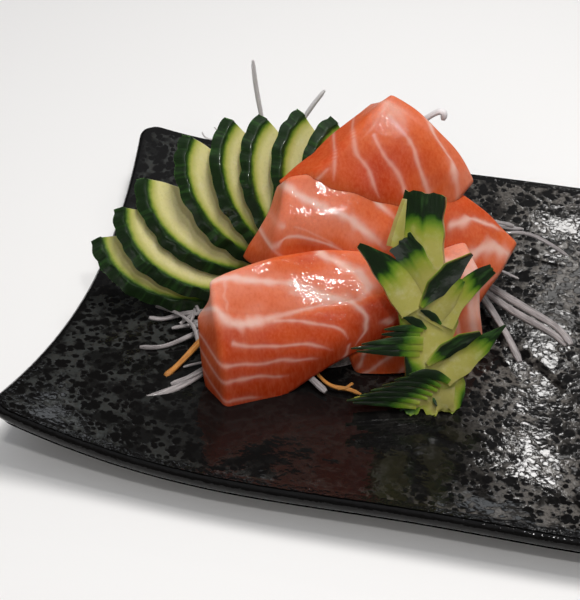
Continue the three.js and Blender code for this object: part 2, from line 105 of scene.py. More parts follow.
# The fat seams of each slice. A seam runs through points (along, across): along is -1 at the left
# end and 1 at the right, across is -1 at the front's foot, 0 at the crest and 1 at the back edge.
# Then its half width in mm at the first and last point, and how strong it shows.
SEAMS = {
    # On this slice's top the wide white bands are partly fat and partly a painted white sheen.
    "front": [
        ([(-1.0, .93), (-.79, .82), (-.62, .74), (-.37, .56), (-.12, .45)], 2.1, 1.2, .98),
        ([(-.14, .46), (.05, .32), (.19, .20), (.34, .08), (.49, -.03)], 1.6, 1.9, 1.0),
        ([(-.15, .3), (.04, .18), (.2, .1), (.38, .02)], 1.2, 1.6, .45),
        ([(.47, -.02), (.57, -.2), (.61, -.4), (.58, -.6), (.48, -.8)], .9, .5, .80),
        ([(.24, .93), (.38, .78), (.49, .64), (.6, .48), (.67, .27), (.65, .12),
          (.55, -.01)], 1.9, 2.3, .90),
        ([(-1.0, .16), (-.93, -.02), (-.82, -.07), (-.66, -.08), (-.51, -.08),
          (-.38, -.05)], 1.6, 1.2, 1.0),
        ([(-.42, -.06), (-.16, -.02), (.02, .02), (.19, .03), (.36, .01)], 1.0, .5, .65),
        ([(-.83, .75), (-.86, .0)], .5, .4, .35),
        ([(-.37, -.09), (-.16, -.13), (-.0, -.18), (.14, -.25), (.27, -.34), (.35, -.46),
          (.38, -.60)], .55, .42, .72),
        ([(-.85, -.24), (-.65, -.30), (-.45, -.33), (-.2, -.38), (-.02, -.44), (.1, -.53),
          (.18, -.66)], .42, .45, .66),
        ([(-1.02, -.4), (-.79, -.42), (-.52, -.49), (-.26, -.55), (-.08, -.64),
          (.03, -.71)], .45, .34, .60),
        ([(-1.02, -.55), (-.9, -.55), (-.63, -.59), (-.41, -.68), (-.28, -.74)], .45, .34, .58),
        ([(-1.02, -.72), (-.92, -.71), (-.74, -.75), (-.59, -.82)], .42, .34, .48),
        ([(.39, -.72), (.34, -.95)], .5, .6, .60),
        ([(.8, -.55), (.87, -.66)], 1.2, 1.2, .55),
    ],
    "middle": [
        ([(-.99, .85), (-.84, .63), (-.58, .48), (-.34, .39), (-.1, .3), (.14, .16), (.34, .05),
          (.51, -.07)], 1.1, 1.3, .95),
        ([(-.4, .95), (-.2, .93), (.01, .88), (.19, .74), (.38, .62), (.6, .48)], .6, 1.2, .88),
        ([(-.96, .08), (-.91, .07)], .9, .8, .50),
        ([(-1.02, -.41), (-.99, -.4)], .35, .35, .50),
        ([(-1.0, -.38), (-.9, -.12), (-.69, -.1), (-.47, -.12), (-.12, -.26), (.05, -.34)], .45, .55, .66),
        ([(-.99, -.42), (-.85, -.52), (-.6, -.55)], .40, .40, .45),
        ([(-.77, .07), (-.58, .03), (-.32, -.09), (-.08, -.26)], .35, .40, .28),
    ],
    "back": [
        ([(-1.0, .1), (-.92, -.06), (-.83, -.23), (-.83, -.36)], .5, .4, .22),
        ([(-.36, .97), (-.2, .6), (-.08, .33), (.1, .2), (.27, .09), (.61, -.06),
          (.95, -.10)], 1.3, .9, .95),
        ([(-.8, -.08), (-.63, -.11), (-.2, -.18), (.16, -.22), (.51, -.27), (.8, -.3)], .42, .50, .62),
        ([(-.74, -.27), (-.64, -.30), (-.25, -.37), (.22, -.43), (.4, -.45)], .36, .40, .52),
        ([(-1.0, -.35), (-.74, -.48), (-.3, -.56), (0, -.6)], .42, .40, .52),
        ([(-1.0, -.55), (-.9, -.63), (-.7, -.76)], .40, .40, .48),
        ([(-.9, -.72), (-.86, -.9)], .40, .40, .35),
        ([(-.95, .02), (-.7, -.03), (-.45, -.06)], 1.6, .6, .30),
    ],
    "lower": [
        ([(-.7, -.5), (-.82, -.61), (-.99, -.83)], .7, .5, .66),
        ([(-.3, -.62), (-.49, -.7), (-.78, -.84), (-.96, -.9)], .6, .5, .60),
        ([(-.1, -.76), (-.38, -.89)], .5, .5, .55),
        ([(.62, .5), (.78, .3), (.86, 0), (.84, -.4), (.88, -.9)], 1.8, 2.2, .85),
        ([(1.0, .4), (.97, -.1), (1.0, -.6)], 1.6, 1.4, .70),
        ([(.5, -.3), (.62, -.5), (.66, -.8)], .7, .7, .50),
    ],
    "side": [
        ([(-.1, -.2), (.1, 0), (.25, .24), (.47, .52), (.66, .75)], 1.0, 1.3, .85),
        ([(.3, -.42), (.5, -.22), (.7, -.05), (.9, .12), (1.02, .2)], 1.2, 2.6, .90),
        ([(.1, -.55), (.3, -.5), (.5, -.3)], .7, .7, .55),
        ([(.86, -.6), (.99, -.2), (1.02, .4)], .6, .9, .35),
    ],
}
# Where each slice is wettest, as (along, across) and a radius in mm.
WET = {
    "front": [(.21, .2, 6), (.38, .5, 4.5), (.45, .03, 4), (-.02, .34, 5), (-.41, .84, 3)],
    "middle": [(-.42, .78, 5), (-.50, .36, 8), (-.72, .17, 4), (-.1, .72, 5)],
    "back": [(-.92, -.03, 6), (-.87, -.11, 6), (-.84, -.18, 4)],
    "lower": [(.8, .6, 3)],
    "side": [(.3, .4, 3)],
}
# How far the seams have moved across towards the back edge by the inner face.
WRAP = {"front": .24, "middle": .30, "back": .15, "lower": .2, "side": .2}

GARNISH = dict(place=(13.5, -43.0, 10.8), lean=36.0)

# The heap's two mounds, each a middle and three radii, of which the core fills a share (shrink). The
# height of a shred is a share of its width (flatness). So many shreds are laid over the back and so
# many hug each mound, before those that would run into the slices or the plate are left out: the back
# starts at one y, and the left ends at one x.
HEAP = dict(
    mounds=(((-20, 22, 6), (40, 34, 44)), ((-34, -12, 6), (26, 20, 25))),
    shrink=0.93, flatness=0.62, steps=14, laid=190, hugging=420, back_from=17, left_to=-36,
)

CAMERA = dict(
    elevation=40.0, turn=TURN, distance=470.0, target=(-56.8, 1.7, 12.0), lens=81.6, sensor=36,
)


# ---------------------------------------------------------------- working with arrays

def along(values, s):
    """A size given at the left end, middle and right end, as the parabola through the three."""
    start, middle, end = values
    return middle + (end - start) / 2 * s + ((end + start) / 2 - middle) * s * s


def turned(x=0.0, y=0.0, z=0.0):
    """Rotation about X, then Y, then Z, in degrees."""
    x, y, z = map(math.radians, (x, y, z))
    return np.array(Matrix.Rotation(z, 3, "Z") @ Matrix.Rotation(y, 3, "Y") @ Matrix.Rotation(x, 3, "X"))


def moved(points, rotation, place=(0, 0, 0)):
    """Points turned by a rotation and then shifted."""
    return points @ rotation.T + np.asarray(place, float)


def ripple(points, size, seed, waves=9):
    """Smooth unevenness about 1 high: a sum of sine waves of about one length in random directions."""
    draw = np.random.default_rng(seed)
    direction = draw.normal(size=(waves, points.shape[-1]))
    direction *= (draw.uniform(0.6, 1.6, waves) / np.linalg.norm(direction, axis=1))[:, None]
    phase = draw.uniform(0, 6.3, waves)
    return np.sin(points @ direction.T * (2 * math.pi / size) + phase).sum(-1) / math.sqrt(waves)


def smooth(low, high, value):
    """0 at low and before it, 1 at high and past it, either way round, and an even S between."""
    t = np.clip((value - low) / (high - low), 0, 1)
    return t * t * (3 - 2 * t)


def rounded_span(radius, inner, corner=4):
    """Places over a width of 0 to W as a + b*W, crowded round a quarter circle at both ends, and how
    deep that quarter circle cuts in at each place."""
    angle = np.linspace(0, math.pi / 2, corner + 1)
    run, inset = radius * (1 - np.cos(angle)), radius * (1 - np.sin(angle))
    share = np.linspace(0, 1, inner + 2)[1:-1]
    a = np.concatenate([run, radius - 2 * radius * share, -run[::-1]])
    b = np.concatenate([0 * run, share, 1 + 0 * run])
    return a, b, np.concatenate([inset, 0 * share, inset[::-1]])


def shell(block):
    """The closed outside of a block of points (i, j, k): its six sides as quads that share their
    edges. Returns the quads and the places in the block that they use."""
    inside = np.zeros(block, bool)
    inside[1:-1, 1:-1, 1:-1] = True
    number = np.full(block, -1)
    number[~inside] = np.arange((~inside).sum())

    def side(sheet, flip):
        a, b, c, d = sheet[:-1, :-1], sheet[1:, :-1], sheet[1:, 1:], sheet[:-1, 1:]
        quads = np.stack([a, b, c, d], -1).reshape(-1, 4)
        return quads[:, ::-1] if flip else quads

    quads = np.concatenate([
        side(number[:, :, 0], True), side(number[:, :, -1], False),
        side(number[:, 0, :], False), side(number[:, -1, :], True),
        side(number[0], True), side(number[-1], False),
    ])
    return quads, ~inside


def tube(rings, count):
    """Quads of a skin over closed rings, one after the other, each with count points."""
    r, i = np.meshgrid(np.arange(rings - 1), np.arange(count), indexing="ij")
    j = (i + 1) % count
    near, far = r * count, (r + 1) * count
    return np.stack([near + i, near + j, far + j, far + i], -1).reshape(-1, 4)


def fan_ends(rings, count):
    """Triangles from a pole point at each end, numbered after all ring points."""
    i = np.arange(count)
    j = (i + 1) % count
    last = (rings - 1) * count
    first_pole, last_pole = rings * count + 0 * i, rings * count + 1 + 0 * i
    return np.concatenate([np.stack([first_pole, j, i], -1), np.stack([last_pole, last + i, last + j], -1)])


def volume(points, faces):
    """Six times the volume inside closed faces of three or four corners: positive where they point
    outwards."""
    corner = points[faces]
    return sum(
        np.einsum("ij,ij->i", corner[:, 0], np.cross(corner[:, k], corner[:, k + 1])).sum()
        for k in range(1, corner.shape[1] - 1))


def add(name, data):
    """A new object in the scene."""
    thing = bpy.data.objects.new(name, data)
    bpy.context.scene.collection.objects.link(thing)
    return thing


def make_piece(name, points, quads, material, tris=None, *, node, values=None, sharp):
    """One mesh from arrays of points in mm, quads and triangles, turned outward, riding the body in
    the place of a node. Values are kept at its points for the material, and edges bent by more than
    sharp degrees stay sharp."""
    tris = np.zeros((0, 3), int) if tris is None else tris
    if volume(points, quads) + volume(points, tris) < 0:
        quads, tris = quads[:, ::-1], tris[:, ::-1]
    mesh = bpy.data.meshes.new(name)
    mesh.vertices.add(len(points))
    mesh.vertices.foreach_set("co", (points * MM).astype(np.float32).ravel())
    mesh.loops.add(quads.size + tris.size)
    mesh.loops.foreach_set("vertex_index", np.concatenate([quads.ravel(), tris.ravel()]).astype(np.int32))
    mesh.polygons.add(len(quads) + len(tris))
    starts = np.concatenate([np.arange(len(quads)) * 4, quads.size + np.arange(len(tris)) * 3])
    mesh.polygons.foreach_set("loop_start", starts.astype(np.int32))
    mesh.polygons.foreach_set("use_smooth", np.ones(len(starts), bool))
    mesh.update(calc_edges=True)
    mesh.validate()
    for key, value in (values or {}).items():
        vector = value.ndim == 2
        layer = mesh.attributes.new(key, "FLOAT_VECTOR" if vector else "FLOAT", "POINT")
        layer.data.foreach_set("vector" if vector else "value", value.astype(np.float32).ravel())
    mesh.set_sharp_from_angle(angle=math.radians(sharp))
    mesh.materials.append(material)
    piece = add(name, mesh)
    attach(piece, "root")
    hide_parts(node)
    return piece


def largest_island(mesh):
    """Which points of a mesh are on its largest joined part: every point takes the lowest number
    among its neighbours until nothing changes, and the number that most points share wins."""
    edges = np.empty(len(mesh.edges) * 2, np.int32)
    mesh.edges.foreach_get("vertices", edges)
    a, b = edges.reshape(-1, 2).T
    label = np.arange(len(mesh.vertices))
    while True:
        low = label.copy()
        np.minimum.at(low, a, label[b])
        np.minimum.at(low, b, label[a])
        low = low[low]
        if (low == label).all():
            break
        label = low
    return label == np.bincount(label).argmax()


def give_way(piece, others, gap=0.05, sharp=60):
    """Cuts the other pieces, each swollen by the gap along its normals, out of this one, and keeps
    the largest part that is left."""
    cutters = []
    for other in others:
        mesh = other.data.copy()
        at = np.empty(len(mesh.vertices) * 3, np.float32)
        normal = np.empty(len(mesh.vertices) * 3, np.float32)
        mesh.vertices.foreach_get("co", at)
        mesh.vertices.foreach_get("normal", normal)
        mesh.vertices.foreach_set("co", at + normal * gap * MM)
        cutter = add("cutter", mesh)
        cut = piece.modifiers.new("cut", "BOOLEAN")
        cut.operation, cut.solver, cut.object = "DIFFERENCE", "MANIFOLD", cutter
        cutters.append(cutter)
    bpy.context.view_layer.update()
    whole = piece.evaluated_get(bpy.context.evaluated_depsgraph_get())
    mesh = bpy.data.meshes.new_from_object(whole)
    piece.modifiers.clear()
    old, piece.data = piece.data, mesh
    for cutter in cutters:
        bpy.data.objects.remove(cutter)
    keep = largest_island(mesh)
    if not keep.all():
        work = bmesh.new()
        work.from_mesh(mesh)
        work.verts.ensure_lookup_table()
        bmesh.ops.delete(work, geom=[work.verts[i] for i in np.flatnonzero(~keep)], context="VERTS")
        work.to_mesh(mesh)
        work.free()
    mesh.set_sharp_from_angle(angle=math.radians(sharp))
    mesh.name = old.name
    bpy.data.meshes.remove(old)


# ---------------------------------------------------------------- finishes

class Finish:
    """A material built up from nodes; each call adds its nodes and returns an output. Lengths are in
    mm, but for those that finish hands to the shader, in metres."""

    def __init__(self, name):
        self.material = bpy.data.materials.new(name)
        self.material.use_nodes = True
        self.tree = self.material.node_tree
        self.shader = self.tree.nodes["Principled BSDF"]

    def put(self, target, value):
        """Links an output to an input, or sets the input to a plain value."""
        if isinstance(value, bpy.types.NodeSocket):
            self.tree.links.new(value, target)
        else:
            target.default_value = value

    def node(self, kind, out=0, inputs=(), **settings):
        """A new node with its settings and inputs, of which one output is returned."""
        made = self.tree.nodes.new(kind)
        for key, value in settings.items():
            setattr(made, key, value)
        for key, value in dict(inputs).items():
            self.put(made.inputs[key], value)
        return made.outputs[out]

    def value(self, name, part=None):
        """A value kept at the mesh's points, or one part of it."""
        made = self.tree.nodes.new("ShaderNodeAttribute")
        made.attribute_name = name
        return made.outputs["Fac"] if part is None else self.part(made.outputs["Vector"], part)

    def part(self, vector, index):
        """One coordinate of a vector."""
        return self.node("ShaderNodeSeparateXYZ", index, {0: vector})

    def place(self, scale=(1, 1, 1), rotation=(0, 0, 0)):
        """Object coordinates in millimetres, turned and stretched."""
        spot = self.node("ShaderNodeTexCoord", "Object")
        return self.node("ShaderNodeMapping", 0, {
            "Vector": spot, "Rotation": [math.radians(a) for a in rotation],
            "Scale": [k / MM for k in scale]})

    def noise(self, size, detail=2.0, rough=0.5, where=None, distortion=0.0):
        """Cloudy noise with lumps of one size; W stays at 0."""
        return self.node("ShaderNodeTexNoise", 0, {
            "Vector": self.place() if where is None else where, "Scale": 1 / size, "Detail": detail,
            "Roughness": rough, "Distortion": distortion}, noise_dimensions="4D")

    def streaks(self, name, stretch, scale):
        """Noise drawn out along a piece whose points keep their place across it, along it and a
        number of their own."""
        across, length, own = (self.value(name, part) for part in range(3))
        lane = self.node("ShaderNodeCombineXYZ", 0, {0: across, 1: self.times(length, stretch), 2: own})
        return self.node("ShaderNodeTexNoise", 0, {
            "Vector": lane, "Scale": scale, "Detail": 3.0, "Roughness": 0.6})

    def cells(self, size, where):
        """How far the nearest of scattered points is, which lie about one size apart."""
        return self.node("ShaderNodeTexVoronoi", "Distance", {"Vector": where, "Scale": 1 / size})

    def math(self, operation, a, b=0.0):
        """One step of arithmetic."""
        return self.node("ShaderNodeMath", 0, {0: a, 1: b}, operation=operation)

    def plus(self, total, *others):
        """The sum of all values."""
        for other in others:
            total = self.math("ADD", total, other)
        return total

    def times(self, product, *others):
        """The product of all values."""
        for other in others:
            product = self.math("MULTIPLY", product, other)
        return product

    def spread(self, value, low, high, to_low=0.0, to_high=1.0, smooth=True):
        """A value's range taken on to another, with an even S or a straight line between."""
        return self.node("ShaderNodeMapRange", 0, {
            "Value": value, "From Min": low, "From Max": high, "To Min": to_low, "To Max": to_high},
            interpolation_type="SMOOTHSTEP" if smooth else "LINEAR")

    def ramp(self, value, stops):
        """Colours over a value, given as (place, (red, green, blue))."""
        made = self.tree.nodes.new("ShaderNodeValToRGB")
        self.put(made.inputs[0], value)
        steps = made.color_ramp.elements
        while len(steps) < len(stops):
            steps.new(1.0)
        for step, (place, colour) in zip(steps, stops):
            step.position = place
            step.color = (*colour, 1)
        return made.outputs[0]

    def mix(self, share, a, b):
        """Colour a where the share is 0 and colour b where it is 1."""
        made = self.tree.nodes.new("ShaderNodeMix")
        made.data_type = "RGBA"
        self.put(made.inputs["Factor"], share)
        for socket, value in ((made.inputs[6], a), (made.inputs[7], b)):
            self.put(socket, (*value, 1) if isinstance(value, tuple) else value)
        return made.outputs[2]

    def bump(self, height, distance, strength=1.0):
        """The normal of a surface raised by a height times a distance."""
        return self.node("ShaderNodeBump", 0, {
            "Height": height, "Distance": distance * MM, "Strength": strength})

    def finish(self, **inputs):
        """Sets the shader's inputs, with underscores for the spaces in their names."""
        for key, value in inputs.items():
            self.put(self.shader.inputs[key.replace("_", " ")], value)
        return self.material


GLAZE_BLACK, GLAZE_GREY = (0.0045, 0.0042, 0.0042), (0.030, 0.028, 0.025)
GLAZE_BLOOM = [(0.0, (0.034, 0.037, 0.036)), (0.6, (0.088, 0.083, 0.075)), (1.0, (0.112, 0.103, 0.094))]
# Painted shade, in part the glaze's own black: an oval at the front where the net fades away, where the
# food's shadow and dark reflection fall.
SHADE_OVAL = ((-32.0, 62.0), (-58.0, 34.0))    # its middle and its reach, along and across the plate


def glaze_finish():
    """Black glaze under a thin bloom: a grey-brown net between round black spots, in drifts, over
    a gently lumpy glossy surface. The bloom is palest at the right and nearly gone in an oval at the
    front, partly the glaze's own black and partly painted shade where the food's shadow and dark
    reflection fall. The rim and the underside stay black."""
    f = Finish("mottled_black_glaze")
    bare = f.place()
    stir = f.node("ShaderNodeTexNoise", "Color", {"Vector": bare, "Scale": 1 / 2.2, "Detail": 2.0})
    stir = f.node("ShaderNodeVectorMath", 0, {0: stir, 3: 1.5}, operation="SCALE")
    here = f.node("ShaderNodeVectorMath", 0, {0: bare, 1: stir}, operation="ADD")
    fine = f.noise(0.9, 3, 0.65)
    net = f.plus(f.cells(2.4, here), f.times(f.plus(fine, -0.5), 0.40))
    net = f.times(f.spread(net, 0.38, 0.56), f.spread(f.cells(5.4, here), 0.28, 0.46))
    drift = f.spread(f.noise(7.5, 4, 0.6), 0.40, 0.58)
    away = [
        f.math("DIVIDE", f.plus(f.part(bare, i), -middle), reach)
        for i, (middle, reach) in enumerate(SHADE_OVAL)]
    away = f.math("SQRT", f.plus(*(f.times(k, k) for k in away)))
    # Over the front oval the net fades away: painted shade, in part the glaze's own black.
    bloom = f.times(f.spread(away, 0.55, 1.25, 0.06, 1.0), f.value("open_top"))
    net = f.times(net, f.spread(drift, 0, 1, 0.15, 1.0), bloom)
    tint = f.ramp(f.spread(f.part(bare, 0), -90, 30), GLAZE_BLOOM)
    colour = f.mix(net, GLAZE_BLACK, f.mix(f.spread(fine, 0.30, 0.60), GLAZE_GREY, tint))
    lumps = f.plus(f.times(f.noise(4.6, 2, 0.5), 0.22), f.times(f.noise(14, 1, 0.5), 0.45))
    rim = f.math("SUBTRACT", 1.0, f.value("open_top"))
    wrinkles = f.times(f.noise(1.5, 2, 0.5), f.times(rim, 0.45))
    normal = f.bump(f.plus(lumps, wrinkles, f.times(net, 0.10)), 0.5)
    rough = f.spread(net, 0, 1, 0.06, 0.12, smooth=False)
    return f.finish(Base_Color=colour, Roughness=rough, Normal=normal, Specular_IOR_Level=0.22)


# Colours by the depth below the skin, as a share of COLOUR_DEPTH in mm.
COLOUR_DEPTH = 14.0
SLICE_COLOURS = [
    (0.0, (0.0095, 0.0230, 0.0065)), (0.045, (0.0120, 0.0340, 0.0060)), (0.075, (0.038, 0.088, 0.009)),
    (0.11, (0.150, 0.215, 0.020)), (0.17, (0.380, 0.385, 0.090)), (0.30, (0.590, 0.545, 0.240)),
    (1.0, (0.710, 0.640, 0.400))]
BRANCH_COLOURS = [
    (0.0, (0.0060, 0.0150, 0.0040)), (0.035, (0.0080, 0.0260, 0.0045)), (0.075, (0.030, 0.095, 0.006)),
    (0.14, (0.125, 0.225, 0.014)), (0.24, (0.280, 0.320, 0.036)), (0.38, (0.390, 0.365, 0.085)),
    (1.0, (0.460, 0.400, 0.150))]


def cucumber_finish(name, colours, wetness):
    """Cucumber: dark green skin in lengthwise streaks, a bright green layer under it and then pale
    flesh with fine seeds and grain, under a film of water in patches."""
    f = Finish(name)
    depth = f.plus(f.value("skin_depth"), f.times(f.plus(f.noise(2.2, 3, 0.6), -0.5), 1.1))
    streak = f.streaks("skin_lane", 0.16, 0.42)
    grain = f.noise(0.9, 3, 0.6)
    on_skin, in_flesh = f.spread(depth, 1.0, 0.3), f.spread(depth, 2.0, 4.5)
    light_skin = f.times(f.spread(streak, 0.50, 0.70), f.times(on_skin, 0.7))
    pale_seeds = f.times(f.spread(f.noise(3.2, 3, 0.55), 0.45, 0.75), f.times(in_flesh, 0.30))
    green_grain = f.times(f.spread(grain, 0.45, 0.75), f.times(in_flesh, 0.22))
    colour = f.ramp(f.math("DIVIDE", depth, COLOUR_DEPTH), colours)
    colour = f.mix(light_skin, colour, (0.030, 0.085, 0.018))
    colour = f.mix(pale_seeds, colour, (0.62, 0.60, 0.40))
    colour = f.mix(green_grain, colour, (0.28, 0.29, 0.09))
    normal = f.bump(f.plus(f.times(grain, 0.25), f.times(f.times(streak, on_skin), 1.6)), 0.35, 0.7)
    film = f.bump(f.plus(f.noise(1.3, 1, 0.5), f.times(streak, 0.8)), 0.10)
    wet = f.times(f.spread(f.noise(5, 2), 0.42, 0.60), wetness)
    wet = f.times(wet, f.spread(depth, 0.2, 2.0, 1.0, 0.35))
    return f.finish(
        Base_Color=colour, Roughness=0.42, Normal=normal, Specular_IOR_Level=0.25, Subsurface_Weight=0.30,
        Subsurface_Radius=(0.003, 0.004, 0.0015), Subsurface_Scale=1.0,
        Coat_Weight=wet, Coat_Roughness=0.08, Coat_Normal=film)


# From the deepest to the palest muscle; the tone that picks among them also carries painted shade.
MUSCLE_COLOURS = [
    (0.0, (0.350, 0.024, 0.002)), (0.25, (0.475, 0.046, 0.006)), (0.5, (0.600, 0.100, 0.020)),
    (0.75, (0.680, 0.195, 0.110)), (1.0, (0.720, 0.365, 0.275))]
FAT, PALE_FIBRE, DARK_FIBRE = (0.74, 0.47, 0.40), (0.80, 0.30, 0.16), (0.42, 0.03, 0.004)


def salmon_finish():
    """Raw salmon: deep orange to pale pink muscle in fine fibres, darker in places by painted shade,
    with soft white fat, which on the front slice's top is partly a painted sheen, wet on top in small beads."""
    f = Finish("raw_salmon")
    tone, fat, wet = (f.value("flesh", part) for part in range(3))
    wet = f.times(wet, f.spread(f.noise(0.9, 1, 0.5), 0.38, 0.52, 0.10, 1.0))
    tone = f.plus(tone, f.times(f.plus(f.noise(9, 3, 0.55), -0.5), 0.40))
    fibre = f.noise(0.9, 3, 0.6, where=f.place(scale=(1.0, 1.0, 0.25), rotation=(0, 40, 25)))
    muscle = f.ramp(tone, MUSCLE_COLOURS)
    muscle = f.mix(f.spread(fibre, 0.35, 0.75, 0.0, 0.15), muscle, PALE_FIBRE)
    muscle = f.mix(f.spread(fibre, 0.5, 0.25, 0.0, 0.18), muscle, DARK_FIBRE)
    veins = f.noise(3.0, 4, 0.6, distortion=0.6)
    colour = f.mix(f.times(fat, f.spread(veins, 0.15, 0.55, 0.78, 1.0)), muscle, FAT)
    pools = f.noise(5.5, 1, 0.5)
    normal = f.bump(f.plus(f.times(pools, 0.8), f.times(fibre, 0.12)), 0.35, 0.6)
    film = f.bump(f.plus(f.noise(1.0, 1, 0.5), f.times(pools, 2.0)), 0.115)
    return f.finish(
        Base_Color=colour, Roughness=0.50, Normal=normal, Specular_IOR_Level=0.18, Subsurface_Weight=0.28,
        Subsurface_Radius=(0.006, 0.0018, 0.0008), Subsurface_Scale=1.0,
        Coat_Weight=wet, Coat_Roughness=0.06, Coat_IOR=1.8, Coat_Normal=film)


def shred_finish(name, colour, deep):
    """Shredded root: glassy, with fine streaks along each shred, and whiter where it stands high:
    painted light, as it stands clear of the dark plate.
    """
    f = Finish(name)
    streak = f.streaks("strand", 0.06, 2.3)
    bright = tuple(min(1, c * 1.3) for c in colour)
    base = f.mix(f.spread(streak, 0.36, 0.66), deep, colour)
    base = f.mix(f.spread(f.noise(7, 2), 0.4, 0.7, 0, 0.3), base, bright)
    # Painted light: shreds that stand high are painted whiter, clear of the dark plate.
    base = f.mix(f.spread(f.part(f.place(), 2), 38, 52, 0, 0.85), base, (0.92, 0.90, 0.92))
    return f.finish(
        Base_Color=base, Roughness=0.35, Normal=f.bump(streak, 0.3, 0.8), Subsurface_Weight=0.25,
        Specular_IOR_Level=0.3, Subsurface_Radius=(0.002, 0.002, 0.002), Subsurface_Scale=1.0,
        Coat_Weight=0.3, Coat_Roughness=0.1)


def core_finish():
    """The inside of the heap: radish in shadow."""
    f = Finish("packed_radish")
    strands = f.noise(1.2, 3, 0.6, where=f.place(scale=(1, 0.25, 1), rotation=(20, 0, 40)))
    colour = f.mix(f.spread(strands, 0.35, 0.65), (0.12, 0.11, 0.11), (0.36, 0.33, 0.33))
    return f.finish(Base_Color=colour, Roughness=0.45, Normal=f.bump(strands, 0.8, 0.8))


# ---------------------------------------------------------------- plate

def plate_top(x, y):
    """The top over the point (x, y) of a plain rectangle: flat in the middle, its corners lifted by a
    product of powers of the distance from the middle, its long sides lifted and bowed out, its short
    sides drawn in."""
    p = PLATE
    u, v = x / (p["length"] / 2), y / (p["width"] / 2)
    au, av = abs(u), abs(v)
    side = p["side_bulge"] * (1 - u * u) + p["side_wave"] * (1 - np.cos(2 * math.pi * u)) / 2
    return np.stack([
        x - np.sign(u) * p["end_hollow"] * (1 - v * v) * au ** 3,
        y + np.sign(v) * side * av ** 3,
        p["floor"] + p["corner_rise"] * au ** p["rise_along"] * av ** p["rise_across"]
        + p["side_rise"] * (1 - u * u) ** 2 * av ** 4], -1)


def rounded_rectangle(length, width, radius):
    """A ring round a rectangle: four quarter circles joined by straight runs, as x and y."""
    ring = []
    sides = ((1, -1, width, 64), (1, 1, length, 104), (-1, 1, width, 64), (-1, -1, length, 104))
    for k, (sx, sy, run, count) in enumerate(sides):
        angle = np.radians(90 * (k - 1) + np.linspace(0, 90, 9))
        corner = np.stack([sx * (length / 2 - radius) + radius * np.cos(angle),
                           sy * (width / 2 - radius) + radius * np.sin(angle)], -1)
        heading = math.radians(90 * (k + 1))
        steps = np.linspace(0, run - 2 * radius, count)[1:-1, None]
        ring += [corner, corner[-1] + steps * [math.cos(heading), math.sin(heading)]]
    return np.concatenate(ring)


def build_plate():
    """Rings over the rounded rectangle scaled down for the top, a half round for the rim, the same
    rings lower for the underside, then the block of the foot."""
    p = PLATE
    outline = rounded_rectangle(p["length"], p["width"], p["corner"])
    size = np.array([p["length"], p["width"]])
    rim = 0.985    # the scale at which the top and the underside meet the rim

    def ring(scale, depth):
        """The outline at one scale, at the top for depth 0 and at the underside for depth 1, with
        half a circle between them at full scale."""
        inset = p["thickness"] / 2 * (1 - math.sin(depth * math.pi)) * (scale >= 1)
        at = outline * scale * (1 - 2 * inset / size)
        top = plate_top(at[:, 0], at[:, 1])
        top[:, 2] -= p["thickness"] * (1 - math.cos(depth * math.pi)) / 2
        return top

    scales = np.concatenate([np.linspace(0.02, 0.9, 46), np.linspace(0.912, rim, 8)])
    rings = [ring(scale, 0) for scale in scales]
    rings += [ring(1, depth) for depth in np.linspace(0, 1, 15)]
    rings += [ring(scale, 1) for scale in np.linspace(rim, 0.7, 8)]
    foot = ((p["foot_flare"], p["floor"] - p["thickness"]), (2.0, 1.6), (0.6, 0.4), (-1.0, 0.0), (-60, 0.0))
    for wider, z in foot:
        flat = outline / size * [p["foot_length"] + wider, p["foot_width"] + wider]
        rings.append(np.concatenate([flat, np.full((len(flat), 1), z)], 1))
    rings = np.array(rings)
    m, n = rings.shape[:2]
    points = np.concatenate([rings.reshape(-1, 3), [rings[0].mean(0)], [rings[-1].mean(0)]])
    open_top = [np.clip((rim - scale) / 0.03, 0, 1) for scale in scales]
    open_top = np.repeat(open_top + [0.0] * (m - len(open_top)), n)
    return make_piece(
        "plate_dish", points, tube(m, n), glaze_finish(), fan_ends(m, n),
        values={"open_top": np.concatenate([open_top, [1.0, 0.0]])},
        node="plate", sharp=60)


# ---------------------------------------------------------------- cucumber fan

